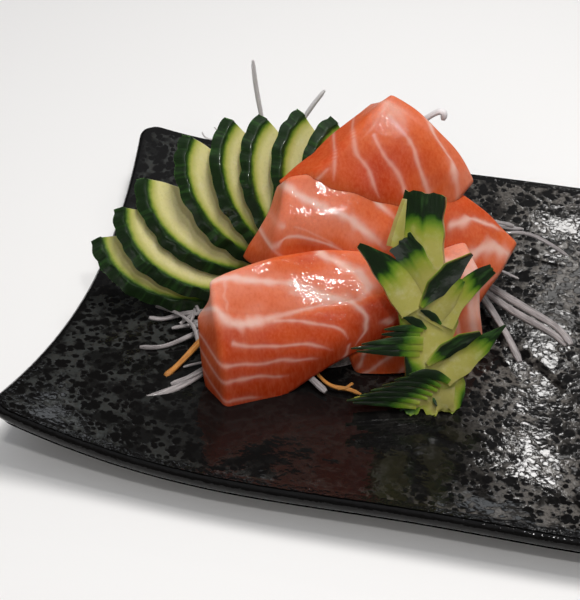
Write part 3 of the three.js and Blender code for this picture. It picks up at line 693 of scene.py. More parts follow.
def half_moon(seed, thin):
    """Half-moon slice lying flat: the block runs along the straight edge, from it to the round skin,
    and through the thickness. The skin is an ellipse with shallow grooves and slants with depth. A
    thin slice keeps its upper face in place."""
    c = CUCUMBER
    half, slant, steps = c["thickness"] / 2, c["slant"], np.linspace(0, 1, 8)
    angle = np.linspace(0, math.pi, c["ridges"] * 11 + 1)[:, None, None]
    reach = (1 - (1 - np.linspace(0, 1, 15)) ** 1.6)[None, :, None]
    z = np.interp(steps, [0, 0.1, 0.9, 1], [-half, 0.3 - half, half - 0.3, half])[None, None, :]
    inset = np.interp(z, [-half, 0.5 - half, half - 0.7, half - 0.2, half],
                      [0.5, 0, slant - 0.3, slant - 0.1, slant + 0.25])
    phase = np.random.default_rng(seed).uniform(0, 6.3, 4)
    ridge = abs(np.sin(angle * c["ridges"] + 0.7 * np.sin(angle * 3 + phase[1]))) ** 1.1
    groove = c["ridge_depth"] * (1 - ridge) * (1 + 0.35 * np.sin(angle * 5 + phase[2]))
    uneven = 0.22 * sum(np.sin(angle * k + phase[i] + z * 0.4) for i, k in enumerate((5, 8, 13, 21)))
    scale = 1 - (inset + groove + uneven * np.sin(angle)) / c["depth"]
    x = -c["half_chord"] * (1 + np.cos(angle) * scale)
    t = np.clip(-x / (2 * c["half_chord"]), 0, 1)
    straight = 4 * c["chord_bulge"] * t * (1 - t) + 0.12 * np.sin(t * 40 + phase[0])
    skin = -c["depth"] * np.sin(angle) * scale
    y = straight + (skin - straight) * reach
    edge = 0.35 * smooth(0.8, 1.0, abs(z) / half) * (reach < 0.02)
    points = np.stack(np.broadcast_arrays(x, y - edge, half - (half - z) * thin + 0 * x * y), -1)
    far = np.hypot((points[..., 0] + c["half_chord"]) / c["half_chord"], points[..., 1] / c["depth"])
    depth = np.clip(1 - far, 0, 1) * c["depth"] * 1.05
    on_skin = np.broadcast_to(reach > 0.999, depth.shape)
    depth = np.where(on_skin, 0.0, np.maximum(depth - inset, 0.15))
    lane = np.stack(np.broadcast_arrays(angle * c["depth"] * 1.1, z, 7.0 * seed + 0 * x * y), -1)
    return points, depth, lane


def build_fan():
    """Nine half moons, each tipped about a line across its middle, turned further than the last and
    set down in a row on a plane that leans back."""
    flesh = cucumber_finish("cucumber_skin_and_flesh", SLICE_COLOURS, 0.6)
    toward = math.radians(CUCUMBER["tilt_toward"])
    hinge = Vector((-math.sin(toward), math.cos(toward), 0))
    tip = np.array(Matrix.Rotation(math.radians(CUCUMBER["tilt"]), 3, hinge))
    view = turned(x=90 - LEAN, z=TURN)
    settings = zip(FAN["turns"], FAN["rises"], FAN["depths"], FAN["thins"])
    for i, (turn, rise, depth, thin) in enumerate(settings):
        points, skin, lane = half_moon(40 + i, thin)
        quads, used = shell(points.shape[:3])
        place = (FAN["start"] + FAN["step"] * i, rise, depth)
        points = moved(moved(moved(points[used], tip), turned(z=turn), place), view, FAN["place"])
        make_piece(
            f"half_moon_{i + 1}", points + FOOD_PLACE, quads, flesh,
            values={"skin_depth": skin[used], "skin_lane": lane[used]},
            node=f"cucumber_slice_{i + 1}", sharp=42)


# ---------------------------------------------------------------- salmon

def slice_path(size, s, distance):
    """Across a slice at s: straight up its front, round a parabola at the bend, on along its back.
    Returns the point and direction at each distance, and where the crest is."""
    lean, rise = np.radians(along(size["lean"], s)), np.radians(along(size["rise"], s))
    drop, over = along(size["drop"], s), along(size["over"], s)
    down = np.stack([-np.sin(lean), -np.cos(lean)], -1)
    back = np.stack([np.cos(rise), np.sin(rise)], -1)
    reach = np.minimum(size["bend"], np.minimum(drop * 0.7, over * 0.9))
    t = np.linspace(0, 1, 25)
    curve = reach[:, None, None] * ((1 - t)[:, None] ** 2 * down[:, None] + t[:, None] ** 2 * back[:, None])
    length = np.linalg.norm(np.diff(curve, axis=1), axis=2).cumsum(1)
    length = np.concatenate([0 * length[:, :1], length], 1)
    arc, front = length[:, -1], drop - reach
    total = front + arc + over - reach
    d = distance(total)
    into = np.clip(d - front[:, None], 0, arc[:, None])
    k = np.clip((length[:, None, :] <= into[:, :, None]).sum(-1) - 1, 0, 23)
    row = np.arange(len(s))[:, None]
    part = (into - length[row, k]) / np.maximum(length[row, k + 1] - length[row, k], 1e-9)
    at = ((k + part) / 24)[..., None]
    point = reach[:, None, None] * ((1 - at) ** 2 * down[:, None] + at ** 2 * back[:, None])
    point += np.maximum(front[:, None] - d, 0)[..., None] * down[:, None]
    point += np.maximum(d - (front + arc)[:, None], 0)[..., None] * back[:, None]
    heading = at * back[:, None] - (1 - at) * down[:, None]
    heading /= np.linalg.norm(heading, axis=-1, keepdims=True)
    crest = (front + arc / 2)[:, None]
    across = np.where(d < crest, d / crest - 1, (d - crest) / (total[:, None] - crest))
    return point, heading, np.clip(across, -1, 1), total


def slice_block(size, sections=120, steps=110, layers=9, edge=1.7):
    """A bent slice as a block of points: along its crest, across it by the path, and through its
    thickness at right angles to the path, with quarter-round edges. Also gives, for each point, where
    it is along (-1 to 1), across (-1 to 1) and through (0 outside, 1 inside)."""
    a, b, end_inset = rounded_span(edge, sections)
    x = -size["length"] / 2 + a + b * size["length"]
    s = x / (size["length"] / 2)
    a, b, inset = rounded_span(edge, steps)

    def distance(total):
        d = a + b * total[:, None]
        return d + (total[:, None] / 2 - d) * (2 * end_inset / total)[:, None]

    point, heading, across, total = slice_path(size, s, distance)
    inward = np.stack([heading[..., 1], -heading[..., 0]], -1)
    cut = np.maximum(inset[None, :], end_inset[:, None])
    swell = size["belly"] * np.sin(math.pi * np.maximum(0, -across))
    k = np.linspace(0, 1, layers)
    depth = cut[..., None] + (size["thickness"] - 2 * cut[..., None]) * k
    share = depth / size["thickness"]
    q = point[:, :, None] + inward[:, :, None] * (depth - swell[..., None] * (1 - share))[..., None]
    slide = (-along(size["skew"], across)[..., None] * share * (1 - s)[:, None, None] / 2
             - size["tuck"] * np.maximum(0, -across)[..., None] * (1 + s)[:, None, None] / 2)
    points = np.stack([
        x[:, None, None] + slide, q[..., 0],
        q[..., 1] + size["arch"] * (1 - s * s)[:, None, None]], -1)
    where = np.stack(np.broadcast_arrays(s[:, None, None], across[..., None], share), -1)
    return points, where


def seam_strength(size, where, seams, wrap):
    """How much fat shows at each point: for each seam, a bell of the distance to its curve over its
    width with a wider faint bell under it, fading at the seam's last end. The curve is a chain of
    points measured in millimetres on the slice's face, and it wanders a little."""
    scale = np.array([size["length"] / 2, (max(size["drop"]) + max(size["over"])) / 2.2])
    at = np.stack([where[:, 0], where[:, 1] - wrap * where[:, 2]], -1) * scale
    at = at + 0.30 * np.stack([ripple(at, 11, 5), ripple(at, 11, 6)], -1)
    uneven = 1 + 0.22 * ripple(at, 5, 8)
    amount = np.zeros(len(at))
    for path, first, last, strength in seams:
        knots = np.array(path, float) * scale
        t = np.linspace(0, 1, len(knots))
        fine = np.linspace(0, 1, 5 * len(knots))
        knots = np.stack([np.interp(fine, t, knots[:, i]) for i in (0, 1)], -1)
        for _ in range(3):
            knots[1:-1] = (knots[:-2] + 2 * knots[1:-1] + knots[2:]) / 4
        start, step = knots[:-1], np.diff(knots, axis=0)
        near = np.full(len(at), 1e9)
        place = np.zeros(len(at))
        for i in range(len(step)):
            part = np.clip(((at - start[i]) @ step[i]) / max(step[i] @ step[i], 1e-9), 0, 1)
            away = np.linalg.norm(at - start[i] - part[:, None] * step[i], axis=1)
            closer = away < near
            near, place = np.where(closer, away, near), np.where(closer, (i + part) / len(step), place)
        width = (first + (last - first) * place) * uneven * (1 - 0.4 * smooth(0.8, 1, place))
        bell = 0.88 * np.exp(-(near / width) ** 2) + 0.12 * np.exp(-(near / (2.2 * width + 0.5)) ** 2)
        shown = strength * bell * (1 - 0.65 * smooth(0.75, 1.0, place)) * (0.9 + 0.1 * uneven)
        amount = 1 - (1 - amount) * (1 - np.clip(shown, 0, 1))
    return amount


def spot(s, a, along_at, across_at, wide, high):
    """1 at one place on a slice and fading round it as a bell."""
    return np.exp(-((s - along_at) / wide) ** 2 - ((a - across_at) / high) ** 2)


# How pale the flesh is at a place along (s) and across (a) each slice: 0 is deep orange, 1 pale pink.
# Some of it is painted shade: the fronts of the front and middle slices darken towards their foot, the
# middle slice darkens in a crescent under its crest, and the back slice's left end darkens where it
# turns from the light.
TONES = {
    # front: painted shade darkens the front towards its foot.
    "front": lambda s, a: (
        0.29 + 0.43 * smooth(-0.2, 0.1, a) - 0.20 * smooth(-0.4, -1.0, a) - 0.16 * smooth(0.35, 0.95, s)
        - 0.38 * spot(s, a, 0.1, 0.85, 0.42, 0.28) - 0.16 * spot(s, a, -0.5, 0.3, 0.3, 0.2)
        + 0.10 * smooth(-0.9, -1.0, s)),
    # middle: painted shade darkens the front towards its foot, behind the front slice, and in a crescent
    # under the crest.
    "middle": lambda s, a: (
        0.56 + 0.12 * smooth(-0.3, 0.3, a) - 0.16 * smooth(-0.4, -1.0, a)
        - 0.22 * spot(s, a, 0.3, 0.55, 0.5, 0.35) - 0.22 * spot(s, a, -0.4, -0.2, 0.35, 0.14)),
    # back: painted shade darkens the left end, which turns from the light.
    "back": lambda s, a: (
        0.45 - 0.24 * spot(s, a, -0.2, -0.5, 0.6, 0.35) + 0.16 * smooth(-0.15, 0.15, a)
        + 0.34 * spot(s, a, -0.85, 0.05, 0.45, 0.35) - 0.10 * smooth(-0.92, -1.0, s)
        + 0.14 * smooth(0.3, 0.9, s)),
    "lower": lambda s, a: 0.36 + 0.46 * smooth(0.35, 0.8, s) - 0.36 * spot(s, a, 0.72, -0.2, 0.10, 0.6),
    "side": lambda s, a: 0.38 + 0.16 * smooth(0.4, 0.9, s),
}


def build_salmon():
    """Five slices, each bent by its own sizes and set in its place over the heap, then cut clear of
    the ones made before it."""
    flesh = salmon_finish()
    made = []
    for i, (name, size) in enumerate(SLICES.items()):
        block, where = slice_block(size)
        quads, used = shell(block.shape[:3])
        points, where = block[used], where[used]
        s, a = where[:, 0], where[:, 1]
        # On the front slice's top the fat also paints a white sheen.
        fat = seam_strength(size, where, SEAMS[name], WRAP[name])
        damp = 0.0 if name == "back" else 0.06    # away from the wet spots
        wet = damp * smooth(-0.4, 0.1, a)
        reach = np.where(a < 0, max(size["drop"]), max(size["over"]))
        for s0, a0, radius in WET[name]:
            wet = np.maximum(wet, spot(s, a, s0, a0, radius * 2 / size["length"], radius / reach))
        points = points + 0.25 * np.stack([ripple(points, 17, 60 + 3 * i + j) for j in range(3)], -1)
        points = moved(points, turned(y=size["roll"], z=size["turn"]), size["place"])
        points[:, 2] = np.maximum(points[:, 2], SLICE_FLOOR)
        made.append(make_piece(
            f"salmon_{name}", points + FOOD_PLACE, quads, flesh,
            values={"flesh": np.stack([TONES[name](s, a), fat, wet], -1)},
            node=f"salmon_slice_{name}", sharp=60))
        give_way(made[-1], made[:-1])


# ---------------------------------------------------------------- garnish

# The blades cut from the rind and spread: root, middle and tip in the garnish's own plane, half
# widths from root to tip, how far root and tip stand off the stem, from where along it the skin is
# left on, its thickness, and how far it is turned about its own length.
BLADES = [
    ((-13.4, 52.5), (-12.0, 60.5), (-10.6, 67.5), (2.2, 1.7, 1.0, 0.3), (0.2, 0.7), 2.0, 3.0, -25),
    ((-4.5, 42), (-5.6, 56), (-4.7, 69.6), (5.6, 6.6, 6.5, 6.4), (0.4, 0.8), 0.60, 5.0, 14),
    ((-3, 39), (-8, 48), (-12.8, 54.3), (4.0, 4.4, 4.5, 4.2), (0.8, 4.5), 0.52, 3.0, 8),
    ((-7, 33), (-15.5, 44.5), (-25.6, 53.4), (5.6, 5.2, 3.6, 0.8), (0.8, 6.0), 0.45, 2.6, -8),
    ((-5.6, 33.8), (1.2, 42.3), (9.4, 50.5), (0.5, 3.1, 3.2, 0.3), (2.4, 7.0), 0.0, 2.4, -16),
    ((-3, 29), (1.5, 36), (6.6, 42.6), (5.0, 4.0, 3.0, 1.2), (0.6, 4.0), 0.93, 2.4, 0),
    ((1, 28), (7.2, 38.5), (16, 46), (3.6, 3.2, 3.2, 1.7), (0.6, 4.5), 0.60, 2.4, 10),
    ((0.6, 28.4), (-2.6, 31.2), (-6.0, 32.8), (0.3, 1.2, 1.1, 0.2), (0.8, 1.8), 0.0, 1.6, 0),
    ((-4.0, 26.9), (-7.5, 29.2), (-11.4, 30.6), (0.3, 1.3, 1.2, 0.2), (0.8, 2.0), 0.0, 1.6, 0),
    ((-5, 27.0), (-11, 27.2), (-17.4, 26.9), (1.1, 1.1, 0.9, 0.2), (0.8, 3.0), 0.25, 1.7, 0),
    ((-6, 25.2), (-12, 25.3), (-18.2, 25.3), (1.2, 1.1, 0.9, 0.2), (0.6, 2.4), 0.25, 1.7, 0),
    ((-5, 23.2), (-13, 23.4), (-24.5, 22.3), (1.2, 1.2, 1.0, 0.2), (0.8, 3.2), 0.30, 1.7, 0),
    ((-5, 21.2), (-15, 21.6), (-27.8, 20.9), (1.4, 1.3, 1.1, 0.2), (0.5, 2.8), 0.30, 1.7, 0),
    ((-6, 19.4), (-14, 19.5), (-26.0, 20.0), (1.4, 1.3, 1.0, 0.2), (0.2, 2.0), 0.30, 1.7, 0),
    ((-3.6, 15.6), (4.5, 21.6), (12.5, 25.8), (0.6, 2.2, 2.1, 0.5), (1.6, 4.6), 0.12, 2.2, -14),
    ((1.0, 11.5), (10, 19.4), (20.2, 28.4), (3.6, 4.2, 3.0, 0.3), (0.6, 4.2), 0.62, 2.4, 8),
    ((3.2, 10.2), (-2.5, 12.8), (-9.5, 12.6), (0.9, 1.5, 1.4, 0.3), (1.2, 3.0), 0.10, 1.9, 0),
    ((0.5, 8.8), (-6.0, 11.2), (-14.0, 11.0), (0.5, 0.9, 0.8, 0.2), (1.2, 3.0), 0.15, 1.6, 0),
    ((-0.5, 7.4), (-8.5, 9.8), (-18.0, 9.2), (0.5, 0.9, 0.8, 0.2), (1.0, 3.2), 0.18, 1.6, 0),
    ((-2.0, 6.0), (-11, 8.2), (-21.5, 7.7), (0.5, 0.9, 0.8, 0.2), (1.0, 3.2), 0.18, 1.6, 0),
    ((-3.5, 4.8), (-13, 6.7), (-25.0, 6.1), (0.5, 0.9, 0.8, 0.2), (0.9, 3.0), 0.20, 1.6, 0),
    ((-6.0, 3.4), (-16, 5.2), (-29.0, 4.5), (0.6, 1.0, 0.9, 0.2), (0.8, 2.6), 0.22, 1.6, 0),
    ((-7.0, 2.2), (-17, 3.4), (-27.0, 3.6), (0.8, 1.1, 0.9, 0.2), (0.4, 1.6), 0.30, 1.8, 0),
    ((5, 5.5), (-9, 5.6), (-26.5, 4.6), (4.4, 4.6, 2.6, 0.4), (0.0, 0.8), 0.92, 3.4, 0),
    ((-1.7, 5.2), (-1.3, 4.0), (-0.7, 2.6), (0.2, 0.5, 0.5, 0.2), (0.9, 1.4), 0.0, 1.2, 0),
]

STEM = dict(
    thickness=4.5,
    left=((0, -12), (4, -11), (12, -10.2), (20, -10.8), (31, -12.6), (38, -12.5), (46, -10)),
    right=((0, 3), (2, 6.6), (5, 8.4), (9.7, 8.5), (13.7, 6.9), (23, 4.0), (29, 6.2), (34, 5), (46, 1.5)),
    height=46,
)


def blade_block(root, middle, tip, widths, stand, skin_from, thick, turn, seed):
    """A blade: its spine is the parabola through root, middle and tip, its width runs through four
    sizes along it, across it is a little domed and turned about the spine, and it is thinner towards
    the tip. The skin starts along the spine in ragged lengthwise streaks."""
    u = np.linspace(0, 1, 36)[:, None, None]
    w = np.linspace(-1, 1, 11)[None, :, None]
    k = np.linspace(0, 1, 5)[None, None, :]
    root, middle, tip = map(np.array, (root, middle, tip))
    spine = (1 - u) * (1 - 2 * u) * root + 4 * u * (1 - u) * middle + u * (2 * u - 1) * tip
    heading = (4 * u - 3) * root + (4 - 8 * u) * middle + (4 * u - 1) * tip
    heading = heading / np.linalg.norm(heading, axis=-1, keepdims=True)
    half = np.interp(u, [0, 1 / 3, 2 / 3, 1], widths)
    draw = np.random.default_rng(seed)
    a, b, c = draw.uniform(0, 6.3, 3)
    half = half * (1 + 0.04 * np.sin(u * 17 + a))
    slant = math.radians(turn)
    off = half * w
    lift = stand[0] + (stand[1] - stand[0]) * u ** 1.4
    depth = thick * (1 - 0.3 * u) * k
    ragged = (0.35 * np.sin(w * 7 + b) + 0.25 * np.sin(w * 17 + c)) * np.clip(half / 4, 0.1, 1) * u ** 4
    sideways = off * math.cos(slant) - depth * math.sin(slant)
    x = spine[..., 0:1] - heading[..., 1:2] * sideways + heading[..., 0:1] * ragged
    y = spine[..., 1:2] + heading[..., 0:1] * sideways + heading[..., 1:2] * ragged
    z = lift - off * math.sin(slant) - depth * math.cos(slant) - 0.10 * half * w ** 2
    points = np.stack(np.broadcast_arrays(x, y, z), -1)
    reach = np.linalg.norm(tip - root)
    ragged = 0.7 * np.sin(off * 1.1 + a) + 0.5 * np.sin(off * 2.9 + b) + 0.25 * np.sin(off * 6.1 + c)
    soft = 0.34 if widths[1] < 1.6 else 0.55    # the skin fades more slowly on a fine blade
    skin = np.clip(soft * ((skin_from + 0.08 - u) * reach + 2.6 + ragged * min(1, widths[1] / 3)), 0, 6.5)
    skin = skin + thick * 1.6 * np.maximum(k - 0.25, 0)
    lane = np.stack(np.broadcast_arrays(off, u * reach, 9.0 * seed + 0 * skin), -1)
    return points, np.broadcast_to(skin, points.shape[:3]), lane


def stem_block():
    """The stem: between its left and right edges at each height, a little domed, through its
    thickness, its foot cut ragged."""
    v = np.linspace(0, 1, 60)[:, None, None]
    w = np.linspace(-1, 1, 25)[None, :, None]
    k = np.linspace(0, 1, 7)[None, None, :]
    y = v * STEM["height"]
    left, right = (np.interp(y, *zip(*STEM[side])) for side in ("left", "right"))
    x = left + (right - left) * (w + 1) / 2
    foot = 1.4 * np.sin(x * 0.9) + 0.8 * np.sin(x * 2.3 + 1)
    y = y + foot * (1 - v) ** 8 + 0 * k
    z = -0.6 * w ** 2 - STEM["thickness"] * k + 0 * y
    points = np.stack(np.broadcast_arrays(x, y, z), -1)
    skin = 5.5 + 4 * k + 3 * (1 - abs(w)) * smooth(0.9, 0.3, v) + 0 * v
    skin = skin - 2.0 * smooth(0.75, 1.0, abs(w)) * (1 - k) - 2.2 * smooth(24, 10, y) * (1 - k)
    skin = skin - 2.4 * smooth(26, 14, y) * smooth(3, -8, x) * (1 - k)
    skin = skin + 1.2 * np.sin(y * 0.5 + x * 0.3) * (1 - k)
    lane = np.stack(np.broadcast_arrays(x, y, 3.0 + 0 * skin), -1)
    return points, np.broadcast_to(skin, points.shape[:3]), lane


def build_garnish():
    """The stem and all its leaves in one mesh, stood on its foot and leaned on the salmon."""
    parts = [stem_block()] + [blade_block(*blade, seed=4 + i) for i, blade in enumerate(BLADES)]
    points, skins, lanes, quads, base = [], [], [], [], 0
    for block, skin, lane in parts:
        faces, used = shell(block.shape[:3])
        if volume(block[used], faces) < 0:
            faces = faces[:, ::-1]
        points.append(block[used])
        skins.append(skin[used])
        lanes.append(lane[used])
        quads.append(faces + base)
        base += len(points[-1])
    points = moved(np.concatenate(points), turned(x=90 - GARNISH["lean"], z=TURN), GARNISH["place"])
    points[:, 2] = np.maximum(points[:, 2], SLICE_FLOOR)
    return make_piece(
        "pine_branch_cut", points + FOOD_PLACE, np.concatenate(quads),
        cucumber_finish("cut_cucumber_branch", BRANCH_COLOURS, 0.8),
        values={"skin_depth": np.concatenate(skins), "skin_lane": np.concatenate(lanes)},
        node="cucumber_garnish", sharp=45)


# ---------------------------------------------------------------- radish and carrot

def wandering(starts, headings, climbs, lengths, bends, droops):
    """Middle lines of shreds whose heading and climb, in degrees, change evenly along them."""
    t = np.linspace(0, 1, HEAP["steps"] + 1)[None, :]
    heading = np.radians(headings[:, None] + bends[:, None] * t)
    climb = np.radians(climbs[:, None] + droops[:, None] * t)
    ahead = np.stack([np.cos(heading) * np.cos(climb), np.sin(heading) * np.cos(climb), np.sin(climb)], -1)
    step = (lengths / HEAP["steps"])[:, None, None] * ahead
    return starts[:, None] + np.concatenate([0 * step[:, :1], step[:, :-1]], 1).cumsum(1)


def laid_over(mound, count, draw):
    """Middle lines of shreds laid loosely round the back of a mound, which bend round it one way or
    the other and droop. Those that would come up among the slices are left out."""
    middle, radii = map(np.array, mound)
    around, up = np.radians(draw.uniform(-15, 205, count)), np.radians(draw.uniform(4, 78, count))
    reach = draw.uniform(0.90, 0.98, count)[:, None]
    ball = np.stack([np.cos(around) * np.cos(up), np.sin(around) * np.cos(up), np.sin(up)], -1)
    way = np.where(draw.random(count) < 0.5, 90, -90)
    lines = wandering(
        middle + radii * reach * ball,
        np.degrees(around) + way + draw.uniform(-35, 35, count), draw.uniform(-25, 20, count),
        draw.uniform(20, 40, count), np.sign(way) * draw.uniform(40, 90, count), draw.uniform(-40, -5, count))
    x, y, z = np.moveaxis(lines, -1, 0)
    among_slices = (x > -50) & (y < HEAP["back_from"]) & (z > 14)
    return lines[~among_slices.any(1)]


def hugging(mound, count, draw):
    """Middle lines of shreds that lie on a mound: arcs of great circles of a ball, from a random place
    in a random direction, stretched to the mound's radii."""
    middle, radii = map(np.array, mound)
    start = draw.normal(size=(count, 3))
    start /= np.linalg.norm(start, axis=1, keepdims=True)
    way = np.cross(start, draw.normal(size=(count, 3)))
    way /= np.linalg.norm(way, axis=1, keepdims=True)
    angle = (draw.uniform(20, 36, count) / radii.mean())[:, None, None]
    angle = angle * np.linspace(0, 1, HEAP["steps"] + 1)[None, :, None]
    ball = np.cos(angle) * start[:, None] + np.sin(angle) * way[:, None]
    return middle + ball * radii * (HEAP["shrink"] + draw.uniform(0.01, 0.05, (count, 1, 1)))


def through(paths):
    """Middle lines of shreds that pass by their own few points: the chain of points, evened out."""
    lines = []
    for path in paths:
        knots = np.array(path, float)
        t = np.linspace(0, len(knots) - 1, 4 * HEAP["steps"] + 1)
        line = np.stack([np.interp(t, np.arange(len(knots)), knots[:, i]) for i in range(3)], -1)
        for _ in range(40):
            line[1:-1] = (line[:-2] + 2 * line[1:-1] + line[2:]) / 4
        lines.append(line[::4])
    return np.array(lines)


def shreds(middle, width, seed, sides=8):
    """Shreds as a flattened rounded-square profile carried along their middle lines, all at once:
    (shred, step, point of the profile). The flat side faces up and to the front, but for a twist, and
    the shred tapers at its end."""
    draw = np.random.default_rng(seed)
    count, rings = middle.shape[:2]
    ahead = np.gradient(middle, axis=1)
    ahead /= np.linalg.norm(ahead, axis=-1, keepdims=True)
    up_front = [0.0, -0.6, 0.8]
    side = np.cross(ahead, up_front)
    side /= np.linalg.norm(side, axis=-1, keepdims=True)
    up = np.cross(side, ahead)
    length = np.linalg.norm(np.diff(middle, axis=1), axis=-1).cumsum(1)
    length = np.concatenate([0 * length[:, :1], length], 1)
    t = np.linspace(0, 1, rings)[None, :]
    angle = np.linspace(0, 2 * math.pi, sides, endpoint=False) + math.pi / sides
    corner = np.stack([np.sign(c) * abs(c) ** 0.6 for c in (np.cos(angle), np.sin(angle))], -1)
    twist = draw.uniform(-0.4, 0.4, (count, 1)) + draw.uniform(-0.5, 0.5, (count, 1)) * t
    wide = width[:, None, None] / 2 * (1 + 0.10 * np.sin(t * 9 + draw.uniform(0, 6, (count, 1))))[..., None]
    high = wide * HEAP["flatness"] * draw.uniform(0.85, 1.1, (count, 1, 1))
    across, over = corner[:, 0] * wide, corner[:, 1] * high
    turn, lift = np.cos(twist)[..., None], np.sin(twist)[..., None]
    taper = (1 - 0.40 * smooth(0.93, 1.0, t))[..., None]
    points = (middle[:, :, None] + side[:, :, None] * ((across * turn - over * lift) * taper)[..., None]
              + up[:, :, None] * ((across * lift + over * turn) * taper)[..., None])
    strand = np.stack(np.broadcast_arrays(
        angle[None, None, :] * 1.6, length[..., None], draw.uniform(0, 90, (count, 1, 1))), -1)
    cap = np.arange(1, sides // 2)
    lids = np.stack([cap - 1, cap, sides - 1 - cap, sides - cap], -1) % sides
    one = np.concatenate([tube(rings, sides), lids[:, ::-1], lids + (rings - 1) * sides])
    quads = (one[None] + (np.arange(count) * rings * sides)[:, None, None]).reshape(-1, 4)
    return points.reshape(-1, 3), quads, strand.reshape(-1, 3)


# Single shreds that lie or stand out of the heap: the points they pass by, in the food's own frame,
# and their width.
LOOSE = [
    ([(-66, -12.5, 14.5), (-70.4, -14.3, 14), (-78.7, -16.5, 13), (-83.8, -19.7, 12),
      (-88.6, -20, 12.5)], 1.7),
    ([(-62, -17, 15), (-66.8, -18.8, 14), (-73.8, -21.3, 13), (-79.7, -23, 12)], 1.5),
    ([(-60, -16, 15), (-65.1, -20, 14), (-71.8, -26, 13), (-77.9, -31.4, 12), (-82, -33.8, 12),
      (-87.4, -34.5, 12)], 1.6),
    ([(-88, -13, 12), (-83, -16, 14), (-77.1, -19.1, 15), (-71.9, -23.8, 16), (-69.5, -27.8, 15),
      (-67.8, -31.8, 13)], 1.3),
    ([(-77.2, -21.5, 13), (-74.7, -17.9, 14), (-69.2, -14.7, 15)], 1.2),
    ([(-73.6, -24.1, 15), (-73.2, -19.3, 15), (-74.2, -13.5, 14)], 1.1),
    ([(-73.9, -13, 15), (-70.5, -18, 14), (-67.1, -20.3, 13)], 1.1),
    ([(-73.2, -23.3, 14), (-70, -22.1, 14), (-66.1, -18.6, 14)], 1.4),
    ([(-77.5, -17.2, 12), (-72.3, -18.2, 12), (-66, -14, 12)], 1.3),
    ([(-56, -33, 12.5), (-62.9, -36.1, 12), (-67.6, -38.6, 12), (-70.7, -40.8, 12)], 0.9),
    ([(-58, -34, 14), (-61.3, -39.3, 13), (-66.4, -47.5, 12.4), (-73.4, -54.2, 12),
      (-80.4, -59.4, 12)], 2.2),
    ([(-58, -34, 15), (-61.2, -39.6, 14.2), (-66.7, -46.3, 13.4), (-72.1, -50, 12.6)], 1.6),
    ([(6, 57, 15), (16.4, 58.7, 14), (21.7, 58.7, 13), (27.6, 58.1, 13)], 1.8),
    ([(8, 52, 15), (20.4, 57.1, 13), (25.6, 57.7, 12), (31, 58.3, 12)], 1.5),
    ([(6, 42, 15), (19.7, 47.4, 15), (25.9, 49.9, 16), (31.6, 51.2, 16), (37.5, 48.8, 16), (43.2, 46, 15),
      (48.2, 44.3, 13)], 1.3),
    ([(14, 34, 12), (23.7, 33.1, 12), (28.2, 30.7, 12), (32.2, 28.7, 12)], 0.9),
    ([(10, 26, 14), (20.6, 19.4, 16), (28.4, 10.9, 18), (37.4, 3.6, 19), (46, -2.9, 20), (49.2, -6.8, 20),
      (51.8, -11.7, 20)], 2.5),
    ([(9, 24, 13), (20.1, 17.8, 15), (27.1, 7.6, 17), (36, 0.6, 18), (43.9, -4.8, 19), (48.1, -8.4, 19),
      (50.4, -11.3, 19)], 2.3),
    ([(13, 22, 14), (19.8, 14.9, 15), (24.1, 5.9, 16), (29.3, -3, 16), (33.1, -11.3, 16),
      (36.4, -17.9, 15)], 2.4),
    ([(-38, -28, 15), (-34.4, -34.4, 14), (-29.1, -37.5, 13), (-22.9, -42.2, 12)], 2.4),
    ([(-62.7, 42, 38), (-62.7, 45, 46.2), (-64.2, 44, 57.5), (-65.9, 43, 70.7), (-66.2, 42, 79.9)], 1.6),
    ([(-56, 42, 42), (-51.8, 45, 51.1), (-48.6, 45, 58.1), (-45.1, 45, 64.3), (-41.7, 45, 69.5)], 1.7),
    ([(-18, 38, 50), (-8.7, 42, 62.3), (-5.4, 42, 65.5), (-1.8, 42, 68.6), (0.2, 41.5, 68.6),
      (-0.2, 41, 65.6)], 2.2),
    ([(-74, 38, 44), (-79.8, 40, 47), (-82.8, 40, 47), (-84.2, 40, 48), (-84.8, 40, 49.6)], 0.6),
    ([(-74, 38, 47), (-77.9, 40, 50.2), (-79.3, 40, 51.2), (-80.3, 40, 52.3)], 0.5),
]
CARROT = [
    ([(-62, -18, 15), (-67.5, -27.8, 14), (-70.4, -35.9, 13), (-73.3, -42.3, 12), (-75.4, -45.8, 11.6)], 2),
    ([(-33, -26, 14), (-29.5, -32.3, 13), (-25.5, -37.2, 12.6), (-21, -40.1, 12.2), (-16.6, -38.9, 12),
      (-11.7, -40.9, 12)], 1.3),
    ([(-19.4, -40, 12), (-16.9, -39.4, 12.4), (-15, -37.3, 13)], 1),
]


def build_core(rings=38, count=72):
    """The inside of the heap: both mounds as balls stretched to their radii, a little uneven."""
    up, around = np.radians(np.meshgrid(
        np.linspace(-90, 90, rings + 2)[1:-1], np.linspace(0, 360, count, endpoint=False), indexing="ij"))
    ball = np.stack([np.cos(up) * np.cos(around), np.cos(up) * np.sin(around), np.sin(up)], -1)
    ball = np.concatenate([ball.reshape(-1, 3), [[0, 0, -1], [0, 0, 1]]])
    points = np.concatenate([
        ball * radii * HEAP["shrink"] * (1 + 0.02 * ripple(ball, 0.5, 70 + i)[:, None]) + middle
        for i, (middle, radii) in enumerate(HEAP["mounds"])])
    points[:, 2] = np.maximum(points[:, 2], HEAP_FLOOR)
    quads, tris = tube(rings, count), fan_ends(rings, count)
    make_piece(
        "radish_core", points + FOOD_PLACE, np.concatenate([quads, quads + len(ball)]), core_finish(),
        np.concatenate([tris, tris + len(ball)]), node="shredded_daikon", sharp=60)


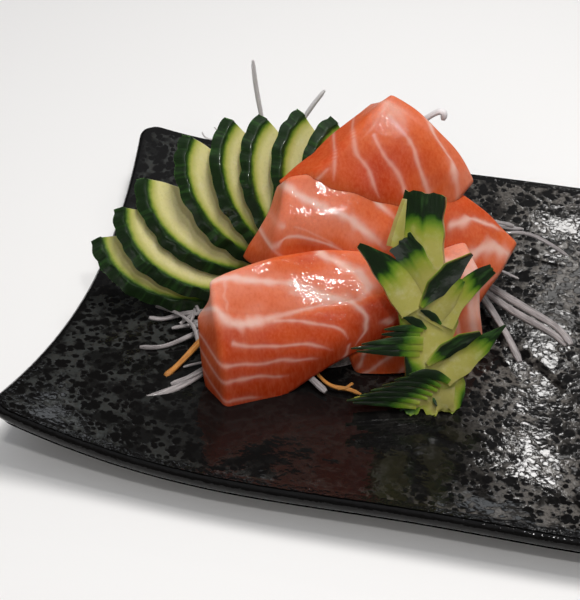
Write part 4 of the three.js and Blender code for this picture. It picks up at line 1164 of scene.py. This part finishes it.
def make_shreds(name, groups, finish):
    """One piece of several groups of shreds, each given as points, quads and strand values."""
    points, quads, strand = map(list, zip(*groups))
    base = np.cumsum([0] + [len(part) for part in points])
    points = np.concatenate(points)
    points[:, 2] = np.maximum(points[:, 2], HEAP_FLOOR)
    make_piece(
        name, points + FOOD_PLACE, np.concatenate([part + first for part, first in zip(quads, base)]), finish,
        values={"strand": np.concatenate(strand)}, node="shredded_daikon", sharp=75)


def build_heap():
    """A lumpy core of two ellipsoids, single shreds that lie or stand out of it, shreds laid loosely
    over its back, shreds that hug its back and its left, and a few shreds of carrot."""
    build_core()
    draw = np.random.default_rng(11)
    laid = laid_over(HEAP["mounds"][0], HEAP["laid"], draw)
    paths, widths = zip(*LOOSE)
    width = np.concatenate([widths, draw.uniform(1.4, 2.2, len(laid))])
    loose = shreds(np.concatenate([through(paths), laid]), width, seed=3)

    draw = np.random.default_rng(21)
    back, left = (hugging(mound, HEAP["hugging"], draw) for mound in HEAP["mounds"])
    back = back[(back[..., 1] > HEAP["back_from"]).all(1)]
    left = left[(left[..., 0] < HEAP["left_to"]).all(1)]
    lines = np.concatenate([back, left])
    lines = lines[(lines[..., 2] > HEAP_FLOOR + 1).all(1)]
    close = shreds(lines, draw.uniform(1.3, 2.0, len(lines)), seed=5)
    white = shred_finish("white_radish", (0.40, 0.37, 0.37), (0.18, 0.165, 0.165))
    make_shreds("radish_shreds", [loose, close], white)

    paths, widths = zip(*CARROT)
    carrot = shreds(through(paths), np.array(widths), seed=4)
    make_shreds("carrot_shreds", [carrot], shred_finish("carrot", (0.56, 0.25, 0.06), (0.36, 0.14, 0.03)))


# ---------------------------------------------------------------- studio

# Place, aim and size in metres, power in watts. A lamp without glints is so large that wet food would
# mirror it as a milky sheen.
LAMPS = {
    "lamp_overhead": dict(
        place=(0.06, 0.15, 0.78), at=(-0.03, 0, 0.02), size=0.30, power=3.7,
        colour=(1.0, 0.97, 0.94), glints=False),
    "lamp_spot": dict(place=(0.215, -0.45, 0.80), at=(-0.03, 0, 0.02), size=0.06, power=1.4),
    "lamp_apex": dict(place=(0.10, -0.05, 0.80), at=(0, 0, 0.06), size=0.06, power=0.8),
    "lamp_back": dict(place=(0.040, 0.35, 0.325), at=(0.02, -0.05, 0.01), size=0.025, power=0.048),
    "lamp_window": dict(place=(0.060, 0.75, 0.625), at=(0, 0, 0.02), size=0.05, power=0.03),
    "lamp_rim": dict(
        place=(-0.05, 0.75, 0.445), at=(0, 0, 0.02), size=0.36, high=0.05, power=0.12,
        colour=(0.9, 0.95, 1.0)),
    "lamp_front": dict(
        place=(-0.12, -0.82, 0.62), at=(-0.05, 0, 0.02), size=0.5, power=1.5,
        colour=(1.0, 0.96, 0.92), glints=False),
    "lamp_side": dict(
        place=(-0.90, 0.25, 0.45), at=(-0.05, 0, 0.02), size=0.40, power=0.12,
        colour=(0.75, 0.86, 1.0)),
}


def hang_lamp(name, place, at, size, power, colour=(1.0, 0.98, 0.96), glints=True, high=None):
    """An oval lamp aimed at a point, as high as it is wide unless a height is given."""
    data = bpy.data.lights.new(name, "AREA")
    data.shape, data.size, data.energy, data.color = "ELLIPSE", size, power, colour
    data.size_y = high or size
    thing = add(name, data)
    thing.visible_glossy = glints
    thing.location = Vector(place)
    thing.rotation_euler = (Vector(at) - Vector(place)).to_track_quat("-Z", "Y").to_euler()


def build_sky():
    """A surround that lights from dark at the horizon to pale overhead, and looks pale itself."""
    world = bpy.data.worlds.new("studio")
    bpy.context.scene.world = world
    world.use_nodes = True
    nodes, links = world.node_tree.nodes, world.node_tree.links
    direction, split, ramp, seen, pick = (nodes.new(f"ShaderNode{kind}") for kind in (
        "TexCoord", "SeparateXYZ", "ValToRGB", "LightPath", "Mix"))
    links.new(direction.outputs["Generated"], split.inputs[0])
    links.new(split.outputs[2], ramp.inputs[0])
    low, high = ramp.color_ramp.elements
    low.color, high.color = (0.03, 0.03, 0.03, 1), (0.55, 0.56, 0.58, 1)
    low.position, high.position = 0.55, 1.0
    pick.data_type = "RGBA"
    links.new(seen.outputs["Is Camera Ray"], pick.inputs["Factor"])
    links.new(ramp.outputs[0], pick.inputs[6])
    pick.inputs[7].default_value = (0.86, 0.86, 0.86, 1)
    links.new(pick.outputs[2], nodes["Background"].inputs["Color"])


def build_camera():
    """The camera, above the table and a little to the right of the food."""
    camera = bpy.data.cameras.new("camera")
    camera.sensor_fit, camera.sensor_width, camera.lens = "AUTO", CAMERA["sensor"], CAMERA["lens"]
    camera.clip_start, camera.clip_end = 0.02, 20
    eye = add("camera", camera)
    facing = turned(x=90 - CAMERA["elevation"], z=CAMERA["turn"])      # columns: right, up, back
    matrix = Matrix(facing).to_4x4()
    matrix.translation = Vector((CAMERA["target"] + CAMERA["distance"] * facing[:, 2]) * MM)
    eye.matrix_world = matrix
    bpy.context.scene.camera = eye
    bpy.context.scene.view_settings.view_transform = "Standard"
    bpy.context.scene.view_settings.look = "None"


def build_studio():
    """A pale floor, a soft lamp overhead and one in front, small ones whose glints show on the wet
    food and the glaze, a weak sky and the camera."""
    mesh = bpy.data.meshes.new("studio_floor")
    mesh.from_pydata([(-4, -4, 0), (4, -4, 0), (4, 4, 0), (-4, 4, 0)], [], [(0, 1, 2, 3)])
    floor = add("studio_floor", mesh)
    f = Finish("pale_floor")
    pale = f.mix(f.spread(f.noise(0.6, 2), 0.3, 0.7, 0, 0.03), (0.86, 0.86, 0.86), (0.8, 0.8, 0.8))
    mesh.materials.append(f.finish(Base_Color=pale, Roughness=0.9))
    for name, settings in LAMPS.items():
        hang_lamp(name, **settings)
    build_sky()
    build_camera()


build_plate()
build_fan()
build_salmon()
build_garnish()
build_heap()
build_studio()
